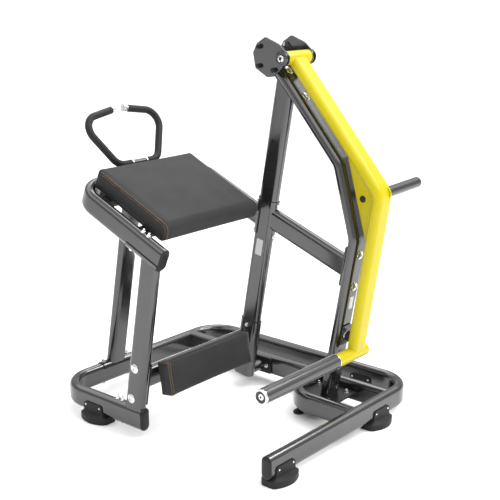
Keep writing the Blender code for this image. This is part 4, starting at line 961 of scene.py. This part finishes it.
def roller():
    """Grey sleeve that turns on the foot tube's axle, with its chrome ring and end cap, and dark discs
    of painted shade in the cap's recess and the bolt's socket.
    """
    place = plan(ARM_FOOT.x, 0, ARM_FOOT.z)
    lathe("sleeve", place, Y_AXIS, rod(0.033, 0.0858, 0.5763, 0.0012), 56, "roller_grey",
          "roller_sleeve", body="foot_roller")
    lathe("sleeve_ring", place, Y_AXIS, rod(0.034, 0.5766, 0.5808, 0.0008), 56, "chrome",
          "roller_ring", body="kick_lever")
    cap = turned(place, -Y_AXIS, [
        (0, -0.085), (0.0325, -0.085), (0.034, -0.0835), (0.034, -0.0785), (0.0325, -0.0765),
        (0.0290, -0.0755), (0.0262, -0.0758), (0.0255, -0.0772), (0.0255, -0.0818), (0, -0.0818)], 56)
    washer = turned(place, -Y_AXIS, rod(0.0128, -0.0815, -0.0795, 0.0005), 40)
    bolt = hexagon(plan(ARM_FOOT.x, 0.0796, ARM_FOOT.z), -Y_AXIS, 0.0098, 0.0036)
    # painted shade: one dark disc stands for the shade inside the bolt's socket, another for the shade
    # at the floor of the cap's recess
    socket = turned(place, -Y_AXIS, [
        (0, -0.0762), (0.0050, -0.0762), (0.0050, -0.0757), (0, -0.0757)], 24)
    painted_recess_shade = turned(place, -Y_AXIS, [
        (0, -0.0816), (0.0253, -0.0816), (0.0253, -0.0810), (0.0130, -0.0810), (0, -0.0812)], 48)
    finished("sleeve_cap", joined(cap, washer, bolt), "chrome", "roller_cap", body="kick_lever")
    finished("sleeve_cap_painted_shade", joined(painted_recess_shade, socket), "dark_steel", "roller_cap",
             body="kick_lever")


def stop(hardware):
    """Bumper that the lever rests on, and its seat on the bent post."""
    face = lower_post(STOP_Z, HALF_WIDE)
    plate("bumper_seat", face + POST_ACROSS * 0.0032, POST_UP, Y_AXIS, (0.095, 0.060, THIN_PLATE),
          0.008, "dark_steel", "stop_plate", edge=hardware.plate_edge)
    run = (ARM_KNEE - ARM_FOOT).normalized()
    normal = Vector((run.z, 0, -run.x))
    start = face + POST_ACROSS * (THIN_PLATE + GAP)
    facing = POST_ACROSS.dot(normal)
    length = (ARM_FOOT - start).dot(normal) / facing - HALF_WIDE / facing
    length -= BUMPER_RADIUS * tan(POST_ACROSS.angle(normal)) + 0.0005
    lathe("bumper_washer", start, POST_ACROSS, rod(0.0235, -0.0002, 0.006, 0.001), 48, "chrome")
    lathe("bumper", start, POST_ACROSS, rod(BUMPER_RADIUS, 0.006, length, 0.003), 48,
          "black_rubber", "stop_bumper")
    finished("bumper_bolt", hex_bolt(lower_post(STOP_Z, -HALF_WIDE), -POST_ACROSS), "chrome")


def upholstered(name, node, place, size, nose, edge, settings, corner=0.0):
    """Make a pad, x along it, y across and bullnosed at +x, swell its cover and put it in place."""
    length, width, depth = Vector(size) - Vector((1, 1, 1)) * 2 * settings.shrink
    outline = rectangle(length, depth, (nose, edge, edge, nose), 10)
    bm = slab(outline, plan(0, -width / 2, 0), X_AXIS, Z_AXIS, Y_AXIS * width, edge, 3)
    bmesh.ops.recalc_face_normals(bm, faces=bm.faces)
    piece = added(name, mesh_of(name, bm))
    piece.modifiers.new("even_faces", "REMESH")
    piece.modifiers["even_faces"].mode = "VOXEL"
    piece.modifiers["even_faces"].voxel_size = settings.cover_detail
    apply_modifiers(piece)
    swell(piece, settings)
    half = Vector(size) / 2
    for vert in piece.data.vertices:
        x, y, z = vert.co
        into_x, into_y = corner - half[0] - x, corner - half[1] + abs(y)
        if min(into_x, into_y) > 0:
            pull = 1 - max(into_x, into_y) / Vector((into_x, into_y)).length
            x += into_x * pull
            y *= 1 - into_y * pull / abs(y)
        rise_x = 1 - min(abs(x / half[0]), 1) ** CROWN_POWER
        rise_y = 1 - min(abs(y / half[1]), 1) ** CROWN_POWER
        if z > 0:
            z += settings.crown * rise_x * rise_y * z / half[2]
        else:
            z = max(z, BOARD_GAP - half[2])
        x -= settings.draw * rise_y * x / half[0]
        y -= settings.draw * rise_x * y / half[1]
        vert.co = (x, y, z)
    piece.modifiers.new("taut", "SMOOTH").iterations = 4
    piece.modifiers.new("smooth", "SUBSURF").levels = 1
    piece.modifiers["smooth"].render_levels = 1
    apply_modifiers(piece)
    piece.data.transform(Matrix.Translation(ORIGIN) @ place)
    piece.data.materials.clear()
    piece.data.materials.append(FINISH["vinyl"])
    piece.data.shade_smooth()
    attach(piece, "frame")
    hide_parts(node)
    return piece


def apply_modifiers(piece):
    """Keep what the modifiers make of a piece as its own mesh."""
    graph = bpy.context.evaluated_depsgraph_get()
    mesh = bpy.data.meshes.new_from_object(piece.evaluated_get(graph))
    old = piece.data
    piece.modifiers.clear()
    piece.data = mesh
    mesh.name = piece.name
    bpy.data.meshes.remove(old)


def swell(piece, settings):
    """Blow a cover up with cloth simulation, each point kept near where it was."""
    rest = [vert.co.copy() for vert in piece.data.vertices]
    cloth = piece.modifiers.new("filling", "CLOTH")
    cloth.settings.use_pressure = True
    cloth.settings.uniform_pressure_force = settings.pressure
    cloth.settings.effector_weights.gravity = 0
    cloth.settings.quality = 5
    for step in range(FILL_FRAMES):
        bpy.context.scene.frame_set(step + 1)
    apply_modifiers(piece)
    bpy.context.scene.frame_set(1)
    for vert, start in zip(piece.data.vertices, rest):
        moved = vert.co - start
        if moved.length > settings.swell:
            moved *= settings.swell / moved.length
        vert.co = start + moved


def stitches(tree, path, settings):
    """Rows of thread along a path in the frame's coordinates, each stitch laid on the surface."""
    made = bmesh.new()
    lengths = [0.0]
    for before, after in zip(path, path[1:]):
        lengths.append(lengths[-1] + (after - before).length)
    pitch = settings.stitch_pitch
    count = int(lengths[-1] / pitch)
    index = 0
    for number in range(count):
        distance = (number + 0.5) * lengths[-1] / count
        while lengths[index + 1] < distance:
            index += 1
        share = (distance - lengths[index]) / (lengths[index + 1] - lengths[index])
        spot = path[index].lerp(path[index + 1], share)
        heading = (path[index + 1] - path[index]).normalized()
        found, normal = tree.find_nearest(spot)[:2]
        across = normal.cross(heading).normalized()
        heading = across.cross(normal)
        turn = turned_to(heading, across, normal)
        size = Matrix.Diagonal((pitch * 0.30, settings.thread, settings.thread * 0.7, 1))
        place = Matrix.Translation(found + normal * settings.thread * 0.15) @ turn @ size
        bmesh.ops.create_uvsphere(made, u_segments=6, v_segments=4, radius=1, matrix=place)
    return made


def stitched(name, pad, place, half_width, rows, settings):
    """Sew both sides of a pad: each row is an outline of (x, z) points and how far in it lies."""
    tree = BVHTree.FromObject(pad, bpy.context.evaluated_depsgraph_get())
    made = []
    for side in (1, -1):
        for outline, inward in rows:
            y = side * (half_width - inward)
            path = [ORIGIN + place @ Vector((x, y, z)) for x, z in outline]
            made.append(stitches(tree, path, settings))
    bm = joined(*made)
    bmesh.ops.translate(bm, verts=bm.verts, vec=-ORIGIN)
    finished(name, bm, "thread", slot="vinyl", recalculate=False)


def chest_pad(settings):
    """Chest pad with its bullnose and stitched edges."""
    along, up = sloping(PAD_TILT)
    place = Matrix.Translation(PAD_CENTRE) @ turned_to(along, Y_AXIS, up)
    pad = upholstered("chest_cushion", "chest_pad", place, PAD_SIZE, PAD_NOSE, settings.cover_edge,
                      settings, PAD_CORNER)
    half = Vector(PAD_SIZE) / 2
    rows = []
    for inset, inward in ((0.002, 0.0072), (0.011, -0.004)):
        x, z = half[0] - inset, half[2] - inset
        outline = rounded(((-half[0] + 0.012, z), (x, z), (x, -z), (half[0] - 0.06, -z)),
                          (0.002, PAD_NOSE - inset, PAD_NOSE - inset, 0.002), 14)
        rows.append(([point for point in outline if point[1] > -half[2] * 0.82], inward))
    stitched("chest_stitching", pad, place, half[1], rows, settings)


def shin_pad(settings):
    """Shin pad with its stitched ends."""
    out, up = sloping(-SHIN_TILT)
    place = Matrix.Translation(SHIN_CENTRE) @ turned_to(-up, Y_AXIS, out)
    edge = settings.cover_edge * 0.8
    pad = upholstered("shin_cushion", "shin_pad", place, SHIN_SIZE, edge, edge, settings)
    x, y, z = Vector(SHIN_SIZE) / 2
    outline = rounded(((-x, -z + 0.01), (-x, z), (x, z), (x, -z + 0.01)),
                      (0.001, 0.007, 0.007, 0.001), 5)
    stitched("shin_stitching", pad, place, y, [(outline, 0.0030), (outline, 0.0155)], settings)


def handles():
    """Handle bar, its grips, collars and end caps."""
    normal, lean = sloping(-HANDLE_LEAN)
    near, far = ([HANDLE_FOOT + Y_AXIS * side * distance + lean * height
                  for distance, height in HANDLE_CORNERS] for side in (-1, 1))
    bar = swept(near[::-1] + far, normal, ring(0.014, 28), HANDLE_BEND)
    finished("handle_rod", bar, "dark_steel", "handle_bar")
    collars = []
    caps = []
    for label, side, points in (("near", -1, near), ("far", 1, far)):
        start = HANDLE_FOOT + Y_AXIS * side * 0.045
        end = points[2] + (points[1] - points[2]).normalized() * 0.0006
        grip = swept([start, points[0], points[1], end], normal, ring(GRIP_RADIUS, 32), HANDLE_BEND)
        ease(grip, right_angles(grip), 0.0018, 3)
        finished("grip_sleeve_" + label, grip, "black_rubber", "grip_" + label)
        collars.append(turned(HANDLE_FOOT, Y_AXIS * side, rod(0.0182, 0.0395, 0.0452), 40))
        caps.append(turned(points[2], points[2] - points[1], [
            (0, -0.002), (0.0158, -0.002), (GRIP_RADIUS, -0.001), (GRIP_RADIUS, 0.0085),
            (0.0172, 0.0095), (0.0180, 0.0098), (0.0184, 0.0105), (0.0184, 0.0165),
            (0.0178, 0.0175), (GRIP_RADIUS, 0.0178), (0.0105, 0.0178), (0.0100, 0.0170),
            (0, 0.0170)], 44))
    finished("grip_collars", joined(*collars), "chrome")
    finished("handle_ends", joined(*caps), "chrome", "handle_cap_near", "handle_cap_far")


def plain_plates():
    """Two plain plates on the central post and one on the bent post."""
    near = CENTRE_Y - HALF_WIDE
    for name, place, v_axis, size, radius, finish, edge in (
            ("tall_plate", post_point(1.155, near - 0.0004), POST_ACROSS, (0.150, 0.036, 0.0012),
             0.004, "black_plastic", 0.0004),
            ("small_plate", post_point(0.722, near - GAP), POST_ACROSS, (0.078, 0.038, 0.0008),
             0.002, "bright_steel", 0.0003),
            ("narrow_plate", lower_post(0.556, HALF_WIDE + GAP), Y_AXIS,
             (0.058, 0.028, 0.0008), 0.002, "bright_steel", 0.0003)):
        plate(name, place, POST_UP, v_axis, size, radius, finish, edge=edge)


def finishes(paint):
    """Make the machine's finishes and give them to the CAD nodes."""
    FINISH.update({
        "frame_grey": powder_coat("frame_grey", paint.frame, 0.16, 0.9, 0.0, 0.3),
        "dark_steel": powder_coat("dark_steel", (0.045, 0.045, 0.047), 0.25, 0.5, 0.2, 0.3),
        "lever_yellow": powder_coat("lever_yellow", paint.lever, 0.30, 0.0, 0.30, 0.10),
        "black_plastic": moulded("black_plastic", (0.010, 0.010, 0.0104), 0.34, 1400, 0.00004),
        "black_rubber": moulded("black_rubber", (0.012, 0.012, 0.0124), 0.55, 900, 0.00005),
        "roller_grey": drawn_sleeve("roller_grey", (0.050, 0.050, 0.0515)),
        "vinyl": vinyl_cover("charcoal_vinyl", paint.vinyl),
        "plywood": plywood("pad_board", (0.42, 0.29, 0.16)),
        "chrome": bright_metal("chrome", (0.86, 0.86, 0.88), 0.07, 0.05),
        "bright_steel": bright_metal("satin_zinc", (0.44, 0.44, 0.445), 0.36, 0.08),
        "polished_steel": bright_metal("polished_steel", (0.68, 0.68, 0.69), 0.20, 0.06),
        "thread": thread("tan_thread", paint.thread),
    })
    for part in frame["record"]["subparts"]:
        node = frame["nodes"][part["node"]]
        node.data.materials.clear()
        node.data.materials.append(FINISH[part["material_slot"]])


def stage(studio):
    """Camera, floor and soft lights."""
    camera = bpy.data.cameras.new("photo_camera")
    camera.sensor_width = 36
    camera.lens = studio.lens
    camera.clip_end = 400
    view = added("photo_camera", camera)
    view.location = CAMERA + ORIGIN
    view.rotation_euler = (pi / 2 - CAMERA_DOWN, 0, CAMERA_ROUND)
    bpy.context.scene.camera = view
    bm = bmesh.new()
    bmesh.ops.create_grid(bm, x_segments=1, y_segments=1, size=150)
    floor = added("studio_floor", mesh_of("studio_floor", bm))
    paint = Shader("pale_floor").set(Base_Color=PALE, Roughness=0.8, Specular_IOR_Level=0.0)
    floor.data.materials.append(paint.material)
    for name, place, target, along, size, power in (
            ("side_light", plan(5.8, 2.6, 6.0), plan(5.8, 2.6, 0), X_AXIS, (7.5, 7.0), studio.side),
            ("top_light", plan(-0.66, 3.02, 6.0), plan(0.6, 0.3, 0.8), X_AXIS, (4.4, 3.6), studio.top),
            ("edge_light", plan(2.36, 3.95, 4.11), plan(1.0, 0.7, 1.35), plan(0.79, 0.10, -0.77),
             (1.1, 0.5), studio.edge)):
        lamp = bpy.data.lights.new(name, "AREA")
        lamp.shape = "RECTANGLE"
        lamp.size, lamp.size_y = size
        lamp.energy = power
        back = (place - target).normalized()
        up = back.cross(along).normalized()
        turn = turned_to(up.cross(back), up, back)
        added(name, lamp).matrix_world = Matrix.Translation(place + ORIGIN) @ turn
    bpy.context.scene.world = sky(studio)
    bpy.context.scene.view_settings.view_transform = "Standard"


def sky(studio):
    """Light from all round, brightest in a band about 40 degrees up."""
    world = bpy.data.worlds.new("studio")
    world.use_nodes = True
    nodes = world.node_tree.nodes
    links = world.node_tree.links
    aim = nodes.new("ShaderNodeTexCoord")
    height = nodes.new("ShaderNodeSeparateXYZ")
    ramp = nodes.new("ShaderNodeValToRGB")
    stops = ((0.50, studio.surround), (0.62, 1.0), (0.75, 1.0), (0.86, studio.zenith))
    for place, tone in stops[1:3]:
        ramp.color_ramp.elements.new(place)
    for stop, (place, tone) in zip(ramp.color_ramp.elements, stops):
        stop.position = place
        stop.color = (tone, tone, tone, 1)
    links.new(aim.outputs["Generated"], height.inputs["Vector"])
    links.new(height.outputs["Z"], ramp.inputs["Fac"])
    links.new(ramp.outputs["Color"], nodes["Background"].inputs["Color"])
    nodes["Background"].inputs["Strength"].default_value = studio.overhead
    return world


class KickbackPaint(bpy.types.PropertyGroup):
    """Colours of the machine."""

    frame: FloatVectorProperty(
        name="Frame", description="Powder coat of the frame", subtype="COLOR", size=3, min=0, max=1,
        default=(0.100, 0.100, 0.102))
    lever: FloatVectorProperty(
        name="Lever", description="Powder coat of the kick lever", subtype="COLOR", size=3, min=0,
        max=1, default=(0.465, 0.392, 0.004))
    vinyl: FloatVectorProperty(
        name="Vinyl", description="Cover of both pads", subtype="COLOR", size=3, min=0, max=1,
        default=(0.026, 0.026, 0.027))
    thread: FloatVectorProperty(
        name="Thread", description="Stitching of both pads", subtype="COLOR", size=3, min=0, max=1,
        default=(0.85, 0.44, 0.11))


class KickbackUpholstery(bpy.types.PropertyGroup):
    """Sizes of the pads' covers."""

    shrink: FloatProperty(
        name="Shrink", description="How much smaller a pad starts on each side before it swells",
        default=0.0005, min=0, max=0.01, unit="LENGTH")
    swell: FloatProperty(
        name="Swell", description="Furthest that filling may push the cover", default=0.003,
        min=0, max=0.02, unit="LENGTH")
    pressure: FloatProperty(
        name="Pressure", description="Pressure of the filling", default=4.0, min=0, max=20)
    crown: FloatProperty(
        name="Crown", description="Rise of a pad's middle above its edges", default=0.005, min=0,
        max=0.02, unit="LENGTH")
    draw: FloatProperty(
        name="Draw", description="How far the sides are drawn in between the corners",
        default=0.002, min=0, max=0.02, unit="LENGTH")
    cover_detail: FloatProperty(
        name="Detail", description="Size of the cover's faces before they are smoothed",
        default=0.004, min=0.003, max=0.02, unit="LENGTH")
    cover_edge: FloatProperty(
        name="Edge", description="Rounding of the cover's seams", default=0.007, min=0.002,
        max=0.02, unit="LENGTH")
    stitch_pitch: FloatProperty(
        name="Stitch", description="Length from one stitch to the next", default=0.0068, min=0.002,
        max=0.02, unit="LENGTH")
    thread: FloatProperty(
        name="Thread", description="Half the width of the thread", default=0.00045, min=0.0002,
        max=0.003, unit="LENGTH")


class KickbackHardware(bpy.types.PropertyGroup):
    """Sizes of plates and bolts."""

    plate_edge: FloatProperty(
        name="Plate edge", description="Width of the eased edge of every plate", default=0.0012,
        min=0.0002, max=0.003, unit="LENGTH")
    washer_radius: FloatProperty(
        name="Large washer", description="Radius of the large round washers", default=0.0215,
        min=0.01, max=0.03, unit="LENGTH")


class KickbackStudio(bpy.types.PropertyGroup):
    """Camera and lights."""

    lens: FloatProperty(
        name="Lens", description="Focal length of the camera", default=72.84, min=20, max=200,
        unit="CAMERA")
    side: FloatProperty(
        name="Side light", description="Power of the large soft light over the floor on the right",
        default=520, min=0, max=5000, unit="POWER")
    top: FloatProperty(
        name="Top light", description="Power of the soft light above and behind", default=170, min=0,
        max=5000, unit="POWER")
    edge: FloatProperty(
        name="Edge light", description="Power of the small light that draws the lever's bright edge",
        default=26, min=0, max=5000, unit="POWER")
    overhead: FloatProperty(
        name="Overhead", description="Brightness of the brightest band, about 40 degrees up",
        default=2.4, min=0, max=10)
    surround: FloatProperty(
        name="Surround", description="Share of that brightness below 30 degrees", default=0.30,
        min=0, max=1)
    zenith: FloatProperty(
        name="Zenith", description="Share of that brightness above 60 degrees", default=0.45, min=0,
        max=1)


class Step:
    """What every step of the build shares."""

    bl_options = {"REGISTER", "UNDO"}


class KICKBACK_OT_finishes(Step, bpy.types.Operator):
    """Make the machine's finishes and give them to its solids."""

    bl_idname = "kickback.finishes"
    bl_label = "Finishes"

    def execute(self, context):
        finishes(context.scene.kickback_paint)
        return {"FINISHED"}


class KICKBACK_OT_stage(Step, bpy.types.Operator):
    """Set up the camera, the floor and the lights."""

    bl_idname = "kickback.stage"
    bl_label = "Stage"

    def execute(self, context):
        stage(context.scene.kickback_studio)
        return {"FINISHED"}


class KICKBACK_OT_base(Step, bpy.types.Operator):
    """Build the base's tubes and its plate."""

    bl_idname = "kickback.base"
    bl_label = "Base"

    def execute(self, context):
        base(context.scene.kickback_hardware)
        return {"FINISHED"}


class KICKBACK_OT_feet(Step, bpy.types.Operator):
    """Mould the feet and fit their screws."""

    bl_idname = "kickback.feet"
    bl_label = "Feet"

    def execute(self, context):
        feet()
        return {"FINISHED"}


class KICKBACK_OT_end_caps(Step, bpy.types.Operator):
    """Close the open tube ends."""

    bl_idname = "kickback.end_caps"
    bl_label = "End caps"

    def execute(self, context):
        end_caps()
        return {"FINISHED"}


class KICKBACK_OT_posts(Step, bpy.types.Operator):
    """Build the posts, the pad rail and the brace."""

    bl_idname = "kickback.posts"
    bl_label = "Posts"

    def execute(self, context):
        posts()
        return {"FINISHED"}


class KICKBACK_OT_saddles(Step, bpy.types.Operator):
    """Build the saddles and flanges between the tubes."""

    bl_idname = "kickback.saddles"
    bl_label = "Saddles"

    def execute(self, context):
        saddles(context.scene.kickback_hardware)
        return {"FINISHED"}


class KICKBACK_OT_pivot_head(Step, bpy.types.Operator):
    """Build the bracket, plates and covers of the lever's pivot."""

    bl_idname = "kickback.pivot_head"
    bl_label = "Pivot head"

    def execute(self, context):
        pivot_head(context.scene.kickback_hardware)
        return {"FINISHED"}


class KICKBACK_OT_lever(Step, bpy.types.Operator):
    """Build the yellow lever and its weight peg."""

    bl_idname = "kickback.lever"
    bl_label = "Lever"

    def execute(self, context):
        lever(context.scene.kickback_hardware)
        return {"FINISHED"}


class KICKBACK_OT_roller(Step, bpy.types.Operator):
    """Build the turning sleeve and its rings."""

    bl_idname = "kickback.roller"
    bl_label = "Foot roller"

    def execute(self, context):
        roller()
        return {"FINISHED"}


class KICKBACK_OT_stop(Step, bpy.types.Operator):
    """Build the rubber bumper and its seat."""

    bl_idname = "kickback.stop"
    bl_label = "Stop"

    def execute(self, context):
        stop(context.scene.kickback_hardware)
        return {"FINISHED"}


class KICKBACK_OT_handles(Step, bpy.types.Operator):
    """Build the handle bar and its grips."""

    bl_idname = "kickback.handles"
    bl_label = "Handles"

    def execute(self, context):
        handles()
        return {"FINISHED"}


class KICKBACK_OT_fasteners(Step, bpy.types.Operator):
    """Fit the frame's bolts."""

    bl_idname = "kickback.fasteners"
    bl_label = "Fasteners"

    def execute(self, context):
        fasteners(context.scene.kickback_hardware)
        return {"FINISHED"}


class KICKBACK_OT_plain_plates(Step, bpy.types.Operator):
    """Fit the plain plates on the posts."""

    bl_idname = "kickback.plain_plates"
    bl_label = "Plain plates"

    def execute(self, context):
        plain_plates()
        return {"FINISHED"}


class KICKBACK_OT_chest_pad(Step, bpy.types.Operator):
    """Upholster and stitch the chest pad."""

    bl_idname = "kickback.chest_pad"
    bl_label = "Chest pad"

    def execute(self, context):
        chest_pad(context.scene.kickback_upholstery)
        return {"FINISHED"}


class KICKBACK_OT_shin_pad(Step, bpy.types.Operator):
    """Upholster and stitch the shin pad."""

    bl_idname = "kickback.shin_pad"
    bl_label = "Shin pad"

    def execute(self, context):
        shin_pad(context.scene.kickback_upholstery)
        return {"FINISHED"}


class KICKBACK_PT_panel(bpy.types.Panel):
    """Sizes, colours and steps of the kickback machine."""

    bl_idname = "KICKBACK_PT_panel"
    bl_label = "Kickback machine"
    bl_space_type = "VIEW_3D"
    bl_region_type = "UI"
    bl_category = "Kickback"

    def draw(self, context):
        """List the settings and the steps."""
        for group in SETTINGS:
            box = self.layout.box()
            settings = getattr(context.scene, group)
            for name in settings.__annotations__:
                box.prop(settings, name)
        for step in STEPS:
            self.layout.operator(step.bl_idname)


STEPS = (
    KICKBACK_OT_finishes,
    KICKBACK_OT_stage,
    KICKBACK_OT_base,
    KICKBACK_OT_feet,
    KICKBACK_OT_end_caps,
    KICKBACK_OT_posts,
    KICKBACK_OT_saddles,
    KICKBACK_OT_pivot_head,
    KICKBACK_OT_lever,
    KICKBACK_OT_roller,
    KICKBACK_OT_stop,
    KICKBACK_OT_handles,
    KICKBACK_OT_fasteners,
    KICKBACK_OT_plain_plates,
    KICKBACK_OT_chest_pad,
    KICKBACK_OT_shin_pad,
)
SETTINGS = {
    "kickback_paint": KickbackPaint,
    "kickback_upholstery": KickbackUpholstery,
    "kickback_hardware": KickbackHardware,
    "kickback_studio": KickbackStudio,
}


def register():
    """Register the classes and hang the settings on the scene."""
    for item in (*SETTINGS.values(), *STEPS, KICKBACK_PT_panel):
        bpy.utils.register_class(item)
    for name, group in SETTINGS.items():
        setattr(bpy.types.Scene, name, PointerProperty(type=group))


def unregister():
    """Take the settings and the classes away again."""
    for name in SETTINGS:
        delattr(bpy.types.Scene, name)
    for item in reversed((*SETTINGS.values(), *STEPS, KICKBACK_PT_panel)):
        bpy.utils.unregister_class(item)


def main():
    """Build every piece in order."""
    register()
    for step in STEPS:
        name = step.bl_idname.split(".")[1]
        getattr(bpy.ops.kickback, name)()


if __name__ == "__main__":
    main()
